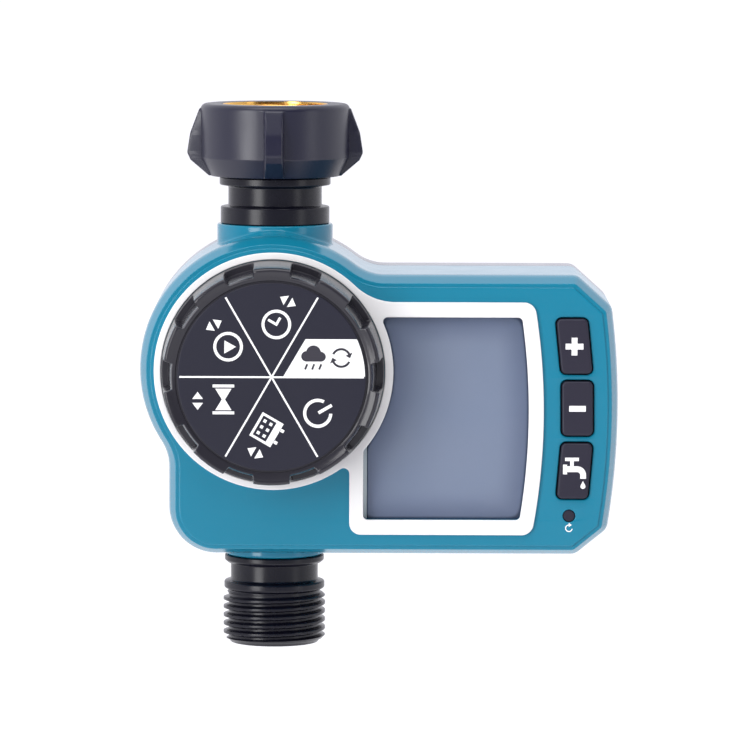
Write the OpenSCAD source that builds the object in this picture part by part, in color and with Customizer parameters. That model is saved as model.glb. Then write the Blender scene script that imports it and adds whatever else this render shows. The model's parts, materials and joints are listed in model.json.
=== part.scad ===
// Battery-powered tap timer for drip irrigation.
// The origin is the centre of the tap nut's mouth, on the axis of the water pipe.
// +X points to the screen and buttons, +Y to the back and +Z up to the tap.
// Case and pipe pieces are drawn about the dial's centre, and in_case() puts them in place.

/* [Case] */
// Height from the dial's centre up to the tap nut's mouth
inlet_to_dial = 68.2; // [66:0.1:72]
// Depth of the front face in front of the pipe axis
front_depth = 28; // [27.5:0.1:30]
// Depth of the back face behind the pipe axis
back_depth = 25; // [24.5:0.1:27]
// Distance from the pipe axis back to the seam between front housing and rear cover
seam_depth = 12; // [11:0.1:13]
// Wall thickness of the case
wall = 2.2; // [1.8:0.1:2.4]
// How far the case widens outward behind its front face
flare = 1.9; // [1.2:0.1:2.2]

/* [Front face outline] */
// Radius of the round part of the front face, about the dial's centre
face_round_r = 32.8; // [32:0.1:34]
// Height of the wing's top edge above the dial's centre
wing_top = 22.9; // [22:0.1:24]
// Height of the bottom edge, below the dial's centre
face_bottom = -46.3; // [-48:0.1:-45.5]
// Place of the straight left edge under the round part
face_left = -25.2; // [-26:0.1:-24]
// Furthest reach of the bowed right edge
face_right = 87.8; // [87:0.1:90]
// Radius of the bowed right edge
right_bow_r = 193.5; // [150:0.5:250]

/* [Dial] */
// Radius of the dial at its base
dial_r = 28.9; // [28:0.1:28.95]
// How far the dial stands out of the bezel
dial_h = 16; // [12:0.5:20]
// Number of finger notches round the dial
notch_count = 10; // [6:1:14]
// Angle that each notch spans
notch_angle = 15.5; // [10:0.5:20]
// Radius at the bottom of a notch
notch_floor_r = 26.2; // [25.8:0.1:27.5]

/* [Screen and buttons] */
// Thickness of the white trim on the front face
bezel_t = 0.9; // [0.6:0.1:1.2]
// Travel of the three large buttons and the reset button
button_travel = 0.8; // [0.4:0.1:1]
// Gap round each button
button_gap = 0.35; // [0.2:0.05:0.5]

/* [Threads] */
// Pitch of the 3/4 inch garden hose thread, 11.5 turns per inch
thread_pitch = 2.209; // [2.209:0.001:2.209]
// Crest radius of the hose outlet's male thread
male_crest_r = 13.45; // [13.4:0.01:13.5]
// Crest radius of the tap nut's female thread
female_crest_r = 12.3; // [12.2:0.01:12.35]

/* [Hidden] */
$fn = 64;

teal = [0.19, 0.54, 0.67];
charcoal = [0.24, 0.23, 0.28];
ink = [0.2, 0.2, 0.24];
steel = [0.75, 0.75, 0.78];
rubber = [0.12, 0.12, 0.13];
gold = [0.85, 0.65, 0.3];
copper = [0.72, 0.4, 0.22];
board_green = [0.1, 0.4, 0.2];
eps = 0.01;

// Depths, all as Y values
front_y = -front_depth;
back_y = back_depth;
seam_y = seam_depth;
shoulder_y = front_y + 6;
plate_back_y = front_y + 2.4;
bezel_y = front_y - bezel_t;
board_front_y = front_y + 8;
board_back_y = board_front_y + 1.6;
cover_in_y = back_y - wall;

// ---------- outlines, seen from the front as X and Z ----------

function arc(c, r, a0, a1, n) =
    [for (i = [0:n]) [c[0] + r * cos(a0 + (a1 - a0) * i / n), c[1] + r * sin(a0 + (a1 - a0) * i / n)]];

// Points without the ones that repeat their neighbour, where two arcs meet
function distinct(p) = [for (i = [0:len(p) - 1]) if (norm(p[i] - p[(i + 1) % len(p)]) > 0.001) p[i]];

// Point at distance reach from centre c, going from point p along direction u
function meet_circle(p, u, c, reach) =
    let (w = p - c, b = w * u, t = -b + sqrt(b * b - w * w + reach * reach)) p + t * u;

// Corners of the front face: centre points of small rounds on a straight-sided chamfer
corner_r = 1.5;
bow_centre = [face_right - right_bow_r, -9.5];
low_chamfer_a = 38.9;
high_chamfer_a = 137.9;
low_start = [face_right - 9.7, face_bottom];
high_end = [face_right - 9.6, wing_top];
low_in = [cos(low_chamfer_a + 90), sin(low_chamfer_a + 90)] * corner_r;
high_in = [cos(high_chamfer_a + 90), sin(high_chamfer_a + 90)] * corner_r;
low_dir = [cos(low_chamfer_a), sin(low_chamfer_a)];
high_dir = [cos(high_chamfer_a), sin(high_chamfer_a)];
low_round = low_start + [-corner_r * tan(low_chamfer_a / 2), corner_r];
high_round = high_end + [-corner_r * tan((180 - high_chamfer_a) / 2), -corner_r];
low_bow_round = meet_circle(low_start + low_in, low_dir, bow_centre, right_bow_r - corner_r);
high_bow_round = meet_circle(high_end + high_in, -high_dir, bow_centre, right_bow_r - corner_r);
low_bow_a = atan2(low_bow_round[1] - bow_centre[1], low_bow_round[0] - bow_centre[0]);
high_bow_a = atan2(high_bow_round[1] - bow_centre[1], high_bow_round[0] - bow_centre[0]);
left_blend_r = 14;
top_blend_r = 15;
left_corner_r = 10.5;
left_blend_x = face_left - left_blend_r;
left_blend = [left_blend_x, -sqrt(pow(face_round_r + left_blend_r, 2) - pow(left_blend_x, 2))];
top_blend_z = wing_top + top_blend_r;
top_blend = [sqrt(pow(face_round_r + top_blend_r, 2) - pow(top_blend_z, 2)), top_blend_z];
left_blend_a = atan2(left_blend[1], left_blend[0]);
top_blend_a = atan2(top_blend[1], top_blend[0]);

// Outline of the case, grown outward by d from the front face's edge
function case_outline(d) = distinct(concat(
    arc([0, 0], face_round_r + d, top_blend_a, 360 + left_blend_a, 36),
    arc(left_blend, left_blend_r - d, 180 + left_blend_a, 0, 5),
    arc([face_left + left_corner_r, face_bottom + left_corner_r], left_corner_r + d, 180, 270, 8),
    arc(low_round, corner_r + d, 270, 270 + low_chamfer_a, 3),
    arc(low_bow_round, corner_r + d, low_chamfer_a - 90, low_bow_a, 3),
    arc(bow_centre, right_bow_r + d, low_bow_a, high_bow_a, 8),
    arc(high_bow_round, corner_r + d, high_bow_a, high_chamfer_a - 90, 3),
    arc(high_round, corner_r + d, high_chamfer_a - 90, 90, 3),
    arc(top_blend, top_blend_r - d, 270, 180 + top_blend_a, 7)
));

// White trim: a ring round the dial that runs into a frame round the screen
ring_out_r = 30.8;
ring_in_r = 29.05;
frame_top = 18.1;
frame_bottom = -42.4;
frame_left = 19.9;
frame_bow_r = 168.3;
frame_bow = [70.2 - frame_bow_r, -10.8];
frame_blend_r = 15;
frame_corner_r = 3.2;
notch_blend_r = 1.5;
frame_blend_z = frame_top + frame_blend_r;
frame_blend = [sqrt(pow(ring_out_r + frame_blend_r, 2) - pow(frame_blend_z, 2)), frame_blend_z];
notch_blend_x = frame_left - notch_blend_r;
notch_blend = [notch_blend_x, -sqrt(pow(ring_out_r + notch_blend_r, 2) - pow(notch_blend_x, 2))];
frame_reach = frame_bow_r - frame_corner_r;
frame_high = meet_circle([0, frame_top - frame_corner_r], [1, 0], frame_bow, frame_reach);
frame_low = meet_circle([0, frame_bottom + frame_corner_r], [1, 0], frame_bow, frame_reach);
frame_high_a = atan2(frame_high[1] - frame_bow[1], frame_high[0] - frame_bow[0]);
frame_low_a = atan2(frame_low[1] - frame_bow[1], frame_low[0] - frame_bow[0]);
frame_blend_a = atan2(frame_blend[1], frame_blend[0]);
notch_blend_a = atan2(notch_blend[1], notch_blend[0]);

function bezel_outline() = distinct(concat(
    arc([0, 0], ring_out_r, frame_blend_a, 360 + notch_blend_a, 40),
    arc(notch_blend, notch_blend_r, 180 + notch_blend_a, 0, 6),
    arc([frame_left + 3, frame_bottom + 3], 3, 180, 270, 5),
    arc(frame_low, frame_corner_r, -90, frame_low_a, 5),
    arc(frame_bow, frame_bow_r, frame_low_a, frame_high_a, 10),
    arc(frame_high, frame_corner_r, frame_high_a, 90, 5),
    arc(frame_blend, frame_blend_r, 270, 180 + frame_blend_a, 7)
));

// Screen window: the left side follows the dial, the right side bows like the frame
window_top = 14.2;
window_bottom = -38.5;
window_left = 23.5;
window_round_r = 31.2;
window_bow_r = 170;
window_bow = [66.3 - window_bow_r, -10.8];

window_corner_r = 1;
window_in_x = window_left + window_corner_r;
window_in_top = window_top - window_corner_r;
window_in_bottom = window_bottom + window_corner_r;
window_reach = window_round_r + window_corner_r;
window_side = [window_in_x, -sqrt(pow(window_reach, 2) - pow(window_in_x, 2))];
window_tip = [sqrt(pow(window_reach, 2) - pow(window_in_top, 2)), window_in_top];
window_bow_reach = window_bow_r - window_corner_r;
window_high = meet_circle([0, window_in_top], [1, 0], window_bow, window_bow_reach);
window_low = meet_circle([0, window_in_bottom], [1, 0], window_bow, window_bow_reach);
window_high_a = atan2(window_high[1] - window_bow[1], window_high[0] - window_bow[0]);
window_low_a = atan2(window_low[1] - window_bow[1], window_low[0] - window_bow[0]);
window_side_a = atan2(window_side[1], window_side[0]);
window_tip_a = atan2(window_tip[1], window_tip[0]);

// Outline of the window, grown outward by d
function window_outline(d) = distinct(concat(
    arc([window_in_x, window_in_bottom], window_corner_r + d, 180, 270, 3),
    arc(window_low, window_corner_r + d, -90, window_low_a, 3),
    arc(window_bow, window_bow_r + d, window_low_a, window_high_a, 10),
    arc(window_high, window_corner_r + d, window_high_a, 90, 3),
    arc(window_tip, window_corner_r + d, 90, 180 + window_tip_a, 4),
    arc([0, 0], window_round_r - d, window_tip_a, window_side_a, 12),
    arc(window_side, window_corner_r + d, 180 + window_side_a, 180, 3)
));

// Buttons sit in a column whose sides follow the frame's bow
button_in_r = 173.15;
button_out_r = 181.1;
button_zs = [[-0.3, 13.9], [-16.4, -2.3], [-32.8, -18.4]];
function column_x(r, z) = frame_bow[0] + sqrt(r * r - pow(z - frame_bow[1], 2));
function button_points(i) = [
    for (z = [button_zs[i][0], button_zs[i][1]]) for (r = [button_in_r, button_out_r]) [column_x(r, z), z]
];
function button_mid(i) = (button_points(i)[0] + button_points(i)[3]) / 2;
reset_at = [76.9, -37.4];
reset_r = 1.55;

button_corner_r = 1.3;

// Outline of a convex shape with rounded corners, grown outward by d
function rounded(p, r, d) = [
    for (i = [0:len(p) - 1])
        let (u = p[i] - p[(i + len(p) - 1) % len(p)], v = p[(i + 1) % len(p)] - p[i],
            a = [-u[1], u[0]] / norm(u), b = [-v[1], v[0]] / norm(v), c = p[i] + r * (a + b) / (1 + a * b),
            from = atan2(-a[1], -a[0]), to = atan2(-b[1], -b[0]))
        each arc(c, r + d, from, to < from ? to + 360 : to, 4)
];

function button_outline(i, d) =
    let (p = button_points(i)) rounded([p[0], p[1], p[3], p[2]], button_corner_r, d);

// ---------- helpers ----------

module in_case() {
    translate([0, 0, -inlet_to_dial]) children();
}

module along_y(y0, y1) {
    translate([0, y1, 0]) rotate([90, 0, 0]) linear_extrude(y1 - y0) children();
}

module rod_x(r, x0, x1) {
    translate([x0, 0, 0]) rotate([0, 90, 0]) cylinder(r = r, h = x1 - x0);
}

module rod_y(r, y0, y1) {
    translate([0, y0, 0]) rotate([-90, 0, 0]) cylinder(r = r, h = y1 - y0);
}

module rod_z(r, z0, z1) {
    translate([0, 0, z0]) cylinder(r = r, h = z1 - z0);
}

module box(low, high) {
    translate(low) cube(high - low);
}

// Point from which the case's whole outline can be seen
case_hub = [20, -5];

// Solid between two outlines with the same number of points, at depths y0 and y1
module loft_y(near, y0, far, y1) {
    n = len(near);
    near_3d = [for (p = near) [p[0], y0, p[1]]];
    far_3d = [for (p = far) [p[0], y1, p[1]]];
    hubs = [[case_hub[0], y0, case_hub[1]], [case_hub[0], y1, case_hub[1]]];
    sides = [for (i = [0:n - 1]) [i, (i + 1) % n, n + (i + 1) % n, n + i]];
    near_cap = [for (i = [0:n - 1]) [2 * n, (i + 1) % n, i]];
    far_cap = [for (i = [0:n - 1]) [2 * n + 1, n + i, n + (i + 1) % n]];
    polyhedron(concat(near_3d, far_3d, hubs), concat(near_cap, far_cap, sides));
}

// Tube of radius r swept along a list of points with sides straight segments round it
module wire(points, r, sides = 8) {
    n = len(points);
    function heading(i) =
        let (a = points[max(i - 1, 0)], b = points[min(i + 1, n - 1)]) (b - a) / norm(b - a);
    function side_of(h) =
        let (up = abs(h[2]) < 0.8 ? [0, 0, 1] : [1, 0, 0], s = cross(h, up)) s / norm(s);
    rings = [for (i = [0:n - 1]) let (h = heading(i), s = side_of(h), t = cross(s, h))
        for (k = [0:sides - 1]) points[i] + r * (cos(360 * k / sides) * s + sin(360 * k / sides) * t)];
    walls = [for (i = [0:n - 2]) for (k = [0:sides - 1])
        let (a = i * sides + k, b = i * sides + (k + 1) % sides)
        each [[a, b, b + sides], [a, b + sides, a + sides]]];
    start = [for (k = [0:sides - 1]) sides - 1 - k];
    end = [for (k = [0:sides - 1]) (n - 1) * sides + k];
    polyhedron(rings, concat([start, end], walls));
}

// Coil of wire along X from x0 to x1, its radius going from r0 to r1
module spring_x(x0, x1, r0, r1, turns, wire_r) {
    steps = turns * 10;
    wire([for (i = [0:steps]) let (t = i / steps, a = 360 * turns * t, r = r0 + (r1 - r0) * t)
        [x0 + wire_r + (x1 - x0 - 2 * wire_r) * t, r * cos(a), r * sin(a)]], wire_r, 6);
}

module torus_z(r, tube_r, z) {
    translate([0, 0, z]) rotate_extrude() translate([r, 0]) circle(r = tube_r, $fn = 32);
}

// ---------- case ----------

post_at = [[-17.5, -37.5], [-26.4, 8.8], [20, -41], [76.5, 17.9], [82, -38.5]];
post_r = 2.3;
boss_r = 2.9;
post_end_y = 5;
screw_r = 1.25;
screw_head_r = 2.3;
screw_head_y = 17;
stud_at = [[-29.9, 0], [0, -29.9], [45, 16.2], [45, -40.4]];
stud_r = 0.6;
board_post_at = [[-17, 15], [12, -32], [71.8, 19], [71.8, -42.2]];
inlet_collar_r = 15.2;
inlet_collar_top = 36.7;
outlet_collar_r = 12.9;
outlet_collar_bottom = -50.9;
neck_in_collar_r = 12.5;
outlet_in_collar_r = 11.5;
shaft_r = 3;
seal_out = flare - 0.7;
seal_in = flare - 1.5;

module at_posts() {
    for (p = post_at) translate([p[0], 0, p[1]]) children();
}

module at_board_posts() {
    for (p = board_post_at) translate([p[0], 0, p[1]]) children();
}

module at_studs() {
    for (p = stud_at) translate([p[0], 0, p[1]]) children();
}

module front_holes() {
    along_y(front_y - 1, plate_back_y + 1) polygon(window_outline(1));
    for (i = [0:2]) {
        along_y(front_y - 1, plate_back_y + 1) polygon(button_outline(i, button_gap));
    }
    translate([reset_at[0], 0, reset_at[1]]) rod_y(reset_r + 0.1, front_y - 1, plate_back_y + 1);
    rod_y(shaft_r + 0.06, front_y - 1, plate_back_y + 1);
    rod_y(4.4, front_y + 0.4, front_y + 1.9);
    at_studs() rod_y(stud_r + 0.05, front_y - 1, plate_back_y + 1);
    pipe_holes();
}

module front_housing() {
    color(teal) in_case() {
        difference() {
            union() {
                loft_y(case_outline(0), front_y, case_outline(flare), shoulder_y);
                along_y(shoulder_y, seam_y) polygon(case_outline(flare));
                rod_z(inlet_collar_r, 28, inlet_collar_top);
                rod_z(outlet_collar_r, outlet_collar_bottom, -44);
            }
            along_y(plate_back_y, seam_y + 10) polygon(case_outline(flare - wall));
            front_holes();
            along_y(seam_y - 0.6, seam_y + 1) difference() {
                polygon(case_outline(seal_out));
                polygon(case_outline(seal_in));
            }
            box([-40, seam_y, -60], [100, seam_y + 20, 50]);
        }
        at_posts() difference() {
            rod_y(post_r, plate_back_y - eps, post_end_y);
            rod_y(screw_r, -6, post_end_y + 1);
        }
        at_board_posts() difference() {
            rod_y(1.8, plate_back_y - eps, board_front_y);
            rod_y(0.9, board_front_y - 3.4, board_front_y + 1);
        }
    }
}

// Battery bay, open at the back of the cover
bay_low = [28.5, 8, -43.4];
bay_high = [77.5, back_y, -20.6];
bay_wall = 1.2;
recess_low = [27.3, back_y - 1.6, -44.6];
recess_high = [78.7, back_y + 1, -19.4];

module rear_cover() {
    back_edge = 2.5;
    color(charcoal) in_case() difference() {
        union() {
            difference() {
                union() {
                    along_y(seam_y, back_y - back_edge) polygon(case_outline(flare));
                    loft_y(case_outline(flare), back_y - back_edge, case_outline(flare - back_edge), back_y);
                    rod_z(inlet_collar_r, 28, inlet_collar_top);
                }
                along_y(seam_y - 10, cover_in_y) polygon(case_outline(flare - wall));
                rod_z(neck_in_collar_r + 0.05, 20, inlet_collar_top + 1);
                box([-40, -20, -60], [100, seam_y, 50]);
            }
            // lip that locates the cover inside the housing
            along_y(seam_y - 2.5, seam_y + eps) difference() {
                polygon(case_outline(flare - wall - 0.1));
                polygon(case_outline(flare - wall - 1.2));
            }
            along_y(seam_y, seam_y + 2) difference() {
                polygon(case_outline(flare - wall + eps));
                polygon(case_outline(flare - wall - 1.2));
            }
            at_posts() rod_y(boss_r, post_end_y, back_y - 0.4);
            box(bay_low - [bay_wall, bay_wall, bay_wall],
                [bay_high[0] + bay_wall, cover_in_y + eps, bay_high[2] + bay_wall]);
        }
        pipe_holes();
        at_posts() {
            rod_y(screw_r + 0.2, post_end_y - 1, screw_head_y + 1);
            rod_y(screw_head_r + 0.1, screw_head_y, back_y + 1);
        }
        box(bay_low, bay_high + [0, 1, 0]);
        box(recess_low, recess_high);
    }
}

module pipe_holes() {
    rod_z(neck_in_collar_r + 0.05, 20, inlet_collar_top + 1);
    rod_z(outlet_in_collar_r + 0.05, outlet_collar_bottom - 1, -40);
}

module case_seal() {
    color(rubber) in_case() difference() {
        along_y(seam_y - 0.6, seam_y) difference() {
            polygon(case_outline(seal_out));
            polygon(case_outline(seal_in));
        }
        pipe_holes();
    }
}

module case_screws() {
    color(steel) in_case() at_posts() difference() {
        union() {
            rod_y(screw_r, -5, screw_head_y + eps);
            rod_y(screw_head_r, screw_head_y, screw_head_y + 1.8);
        }
        box([-1.5, screw_head_y + 1, -0.25], [1.5, screw_head_y + 3, 0.25]);
        box([-0.25, screw_head_y + 1, -1.5], [0.25, screw_head_y + 3, 1.5]);
    }
}

module bezel_trim() {
    color("white") in_case() {
        along_y(bezel_y, front_y) difference() {
            polygon(bezel_outline());
            circle(r = ring_in_r);
            polygon(window_outline(0));
        }
        at_studs() rod_y(stud_r, front_y - eps, plate_back_y);
    }
}

module screen_lens() {
    color([0.6, 0.66, 0.72, 0.4]) in_case() along_y(front_y, front_y + 1.6) polygon(window_outline(0.8));
}

// ---------- screen and circuit board ----------

glass_low = [24.5, front_y + 2.6, -39.5];
glass_high = [67.5, front_y + 5.2, 15.2];

module lcd_glass() {
    color([0.5, 0.55, 0.6]) in_case() box(glass_low, glass_high);
}

module lcd_frame() {
    rim = 2;
    color("white") in_case() difference() {
        box([glass_low[0] - rim, glass_low[1] + 0.2, glass_low[2] - rim],
            [glass_high[0] + rim, board_front_y, glass_high[2] + rim]);
        box(glass_low - [0.1, 1, 0.1], glass_high + [0.1, 0, 0.1]);
        box([27, front_y, -39.4], [65, 0, 12]);
    }
}

module lcd_connector() {
    color([0.9, 0.5, 0.55]) in_case() box([28, glass_high[1], -39.2], [64, board_front_y, -36.6]);
}

module circuit_board() {
    color(board_green) in_case() along_y(board_front_y, board_back_y) difference() {
        polygon(case_outline(flare - wall - 1.1));
        for (p = post_at) translate(p) circle(r = post_r + 0.3);
        for (p = board_post_at) translate(p) circle(r = 1);
        circle(r = shaft_r + 0.4);
    }
}

module board_screws() {
    color(steel) in_case() at_board_posts() {
        rod_y(0.9, board_front_y - 3, board_back_y + eps);
        rod_y(1.7, board_back_y, board_back_y + 1.1);
    }
}

module board_chips() {
    color(ink) in_case() {
        for (c = [[44, 4, 10, 10], [60, 8, 5, 4], [55, -12, 6, 5], [36, -12, 5, 4], [-14, -6, 8, 6]]) {
            translate([c[0], board_back_y, c[1]]) cube([c[2], 1.1, c[3]]);
        }
    }
}

module board_small_parts() {
    color(gold) in_case() {
        translate([46, 0, -6]) rod_y(1.5, board_back_y, board_back_y + 6);
        translate([66, 0, 2]) rod_y(3.1, board_back_y, board_back_y + 8);
        translate([66, 0, -8]) rod_y(3.1, board_back_y, board_back_y + 8);
        for (i = [0:5]) translate([30 + 5 * i, board_back_y, 14.6]) cube([2, 0.7, 1.2]);
        for (i = [0:3]) translate([34 + 6 * i, board_back_y, -28]) cube([2, 0.7, 1.2]);
    }
}

switch_w = 4.6;
switch_bore_r = 1.1;
stem_end_y = board_front_y - 1.8;

module tact_switch_at(p) {
    translate([p[0], 0, p[1]]) difference() {
        box([-switch_w / 2, board_front_y - 2.4, -switch_w / 2],
            [switch_w / 2, board_front_y, switch_w / 2]);
        rod_y(switch_bore_r, board_front_y - 3, stem_end_y + button_travel + 0.2);
    }
}

module tact_switches() {
    color(ink) in_case() {
        for (i = [0:2]) tact_switch_at(button_mid(i));
        tact_switch_at(reset_at);
    }
}

// ---------- buttons ----------

button_front_y = front_y - 1.1;
flange_front_y = plate_back_y + 0.2;

module button_stem(p) {
    translate([p[0], 0, p[1]]) rod_y(1, flange_front_y, stem_end_y);
}

module button(i) {
    color(ink) in_case() {
        along_y(button_front_y, flange_front_y + 0.8) polygon(button_outline(i, 0));
        along_y(flange_front_y, flange_front_y + 0.8) polygon(button_outline(i, 0.9));
        button_stem(button_mid(i));
    }
}

module plus_button() {
    button(0);
}

module minus_button() {
    button(1);
}

module water_button() {
    button(2);
}

module reset_button() {
    color(ink) in_case() {
        translate([reset_at[0], 0, reset_at[1]]) {
            rod_y(reset_r, front_y + 0.3, flange_front_y + 0.8);
            rod_y(reset_r + 0.9, flange_front_y, flange_front_y + 0.8);
        }
        button_stem(reset_at);
    }
}

// ---------- dial ----------

dial_back_y = front_y - 0.4;
dial_front_y = bezel_y - dial_h;
dial_top_r = 27.9;
label_r = 24.2;
label_t = 0.7;
label_front_y = dial_front_y + 0.3;
notch_back_y = bezel_y - 1.7;

module notch_2d() {
    reach = 2 * dial_r;
    half = notch_angle / 2;
    intersection() {
        difference() {
            circle(r = dial_r + 1);
            circle(r = notch_floor_r);
        }
        polygon([[0, 0], reach * [cos(half), -sin(half)], reach * [cos(half), sin(half)]]);
    }
}

module dial_knob() {
    groove_r = label_r + 0.5;
    hub_r = 6;
    skin = 2;
    rim_h = dial_back_y - dial_front_y;
    label_h = dial_back_y - label_front_y;
    seat_h = label_h - label_t;
    color(charcoal) in_case() difference() {
        // profile turned about Y: radius across, height above the back edge up
        translate([0, dial_back_y, 0]) rotate([90, 0, 0]) difference() {
            rotate_extrude() polygon([
                [0, 0], [dial_r, 0], [dial_r, 1.2], [dial_top_r, rim_h - 0.5], [dial_top_r - 0.5, rim_h],
                [dial_top_r - 1.2, rim_h], [groove_r, label_h - 0.5], [groove_r, seat_h], [0, seat_h]
            ]);
            difference() {
                translate([0, 0, -1]) cylinder(r = notch_floor_r - skin, h = seat_h - skin + 1);
                translate([0, 0, -2]) cylinder(r = hub_r, h = rim_h);
            }
        }
        rod_y(shaft_r, label_front_y + label_t + skin, 0);
        for (i = [0:notch_count - 1]) {
            along_y(dial_front_y - 1, notch_back_y) rotate(i * 360 / notch_count) notch_2d();
        }
    }
}

module dial_label() {
    color(ink) in_case() rod_y(label_r, label_front_y, label_front_y + label_t);
}

clip_y = plate_back_y + 0.15;

module dial_shaft() {
    color(steel) in_case() difference() {
        rod_y(shaft_r, label_front_y + label_t + 2, board_back_y);
        difference() {
            rod_y(shaft_r + 1, clip_y, clip_y + 0.5);
            rod_y(shaft_r - 0.6, clip_y - 1, clip_y + 2);
        }
    }
}

module dial_clip() {
    color(steel) in_case() difference() {
        rod_y(5.2, clip_y, clip_y + 0.5);
        rod_y(shaft_r - 0.6, clip_y - 1, clip_y + 2);
        box([-1.6, clip_y - 1, -6], [1.6, clip_y + 2, 0]);
    }
}

module dial_seal() {
    color(rubber) in_case() translate([0, front_y + 1.15, 0]) rotate([90, 0, 0]) {
        torus_z(shaft_r + 0.7, 0.65, 0);
    }
}

switch_front_y = board_front_y - 4.8;

module rotary_switch() {
    color("white") in_case() difference() {
        rod_y(9, switch_front_y, board_front_y);
        rod_y(7.15, switch_front_y - 1, board_front_y - 1.2);
        rod_y(shaft_r + 0.2, switch_front_y - 1, board_front_y + 1);
    }
}

module switch_rotor() {
    color(ink) in_case() difference() {
        rod_y(7, switch_front_y + 0.3, board_front_y - 1.4);
        rod_y(shaft_r, switch_front_y - 1, board_front_y + 1);
    }
}

// ---------- water path ----------

valve_r = 11;
valve_top = 29;
valve_bottom = -44.5;
bore_r = 7;
socket_r = 9.5;
spigot_r = 9.4;
axis_z = 2;
seat_x = 20;
chamber_r = 10;
flange_r = 17;
diaphragm_t = 1.6;
bonnet_x = seat_x + diaphragm_t;
screw_circle_r = 14.7;

module on_valve_axis() {
    translate([0, 0, axis_z]) children();
}

module at_bonnet_screws() {
    on_valve_axis() for (a = [45:90:315]) {
        translate([0, screw_circle_r * cos(a), screw_circle_r * sin(a)]) children();
    }
}

module valve_body() {
    color(ink) in_case() difference() {
        union() {
            rod_z(valve_r, valve_bottom, valve_top);
            on_valve_axis() rod_x(flange_r, 9, seat_x);
        }
        rod_z(bore_r, 8.7, 21);
        rod_z(socket_r, 20, valve_top + 1);
        rod_z(bore_r, -36, 5);
        rod_z(socket_r, valve_bottom - 1, -35);
        on_valve_axis() difference() {
            rod_x(chamber_r, 13, seat_x + 1);
            rod_x(5.5, 12, seat_x + 2);
        }
        on_valve_axis() rod_x(4, 0, seat_x + 1);
        translate([0, 0, axis_z + 7.7]) rod_x(2.2, 0, 14);
        at_bonnet_screws() rod_x(1, 11, seat_x + 1);
    }
}

groove_z = 25;

module spigot(bottom, top, ring_z, bore) {
    difference() {
        rod_z(spigot_r, bottom, top);
        rod_z(bore, bottom - 1, top + 1);
        difference() {
            rod_z(spigot_r + 1, ring_z - 0.8, ring_z + 0.8);
            rod_z(8, ring_z - 2, ring_z + 2);
        }
    }
}

tail_r = 8.5;
tail_in_r = 6.5;
tail_seat_z = 40;
neck_ring_top = 49;

module inlet_neck() {
    color(ink) in_case() {
        spigot(20.2, valve_top + eps, groove_z, bore_r);
        difference() {
            union() {
                rod_z(neck_in_collar_r, valve_top, inlet_collar_top);
                rod_z(14.3, inlet_collar_top, 41.5);
                rod_z(12.3, 41.5, 46.6);
                rod_z(14.6, 46.6, neck_ring_top);
            }
            rod_z(bore_r, valve_top - 1, tail_seat_z + 1);
            rod_z(tail_r, tail_seat_z, neck_ring_top + 1);
        }
    }
}

module inlet_seal() {
    color(rubber) in_case() torus_z(8.75, 0.7, groove_z);
}

nut_bottom = 49.2;
nut_top = inlet_to_dial;
nut_floor = 53.2;
tail_flange_z = nut_floor + 0.1;
tail_flange_top = tail_flange_z + 1.7;
insert_bottom = 56;
insert_shoulder = 66.4;
insert_top = nut_top - 0.1;
nut_r = 19.6;
grip_r = 23.4;

module inlet_tailpiece() {
    color(ink) in_case() difference() {
        union() {
            rod_z(tail_r, tail_seat_z, tail_flange_z + eps);
            rod_z(11.5, tail_flange_z, tail_flange_top);
        }
        rod_z(tail_in_r, tail_seat_z - 1, tail_flange_top + 1);
    }
}

// One grip wing of the tap nut, as a side view: radius across, height up
module nut_wing() {
    wing_w = 4.2;
    rotate([90, 0, 0]) translate([0, 0, -wing_w / 2]) linear_extrude(wing_w) polygon([
        [16, nut_bottom + 0.4], [17.6, nut_bottom + 0.4], [grip_r - 0.6, 53.8], [grip_r, 55.6],
        [grip_r - 0.6, 59], [nut_r, nut_top - 1.2], [nut_r - 1.2, nut_top - 0.2], [16, nut_top - 0.2]
    ]);
}

module coupling_nut() {
    color(ink) in_case() difference() {
        union() {
            rotate_extrude() polygon([
                [0, nut_bottom], [16.6, nut_bottom], [nut_r, 54], [nut_r, nut_top - 1.4],
                [nut_r - 1.2, nut_top], [0, nut_top]
            ]);
            for (a = [0:90:270]) rotate(a) nut_wing();
        }
        rod_z(tail_r + 0.08, nut_bottom - 1, nut_floor + 1);
        rod_z(12, nut_floor, insert_bottom + eps);
        rod_z(15.2, insert_bottom, insert_shoulder);
        rod_z(13.9, insert_shoulder - eps, nut_top + 1);
    }
}

// Thread profile as [radius, height] points: flat crests joined by sloping flanks
function thread_points(crest, root, top, turns) = [
    for (i = [0:turns - 1]) for (p = [[root, 1.5], [crest, 0.9], [crest, 0.4], [root, -0.2]])
        [p[0], top - thread_pitch * (i + 1) + p[1]]
];

module thread_insert() {
    root_r = 13.5;
    turns = 3;
    mouth = [[female_crest_r + 0.4, insert_top], [female_crest_r, insert_top - 0.3],
        [female_crest_r, insert_top - 0.9], [root_r, insert_top - 1.5]];
    color(gold) in_case() rotate_extrude() polygon(concat(
        [[15.2, insert_bottom], [15.2, insert_shoulder], [13.9, insert_shoulder], [13.9, insert_top]],
        mouth, thread_points(female_crest_r, root_r, insert_top - 1.8, turns), [[root_r, insert_bottom]]
    ));
}

washer_top = tail_flange_top + 3;

module inlet_washer() {
    color(rubber) in_case() difference() {
        rod_z(11.9, tail_flange_top, washer_top);
        rod_z(6.8, tail_flange_top - 1, washer_top + 1);
    }
}

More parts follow.
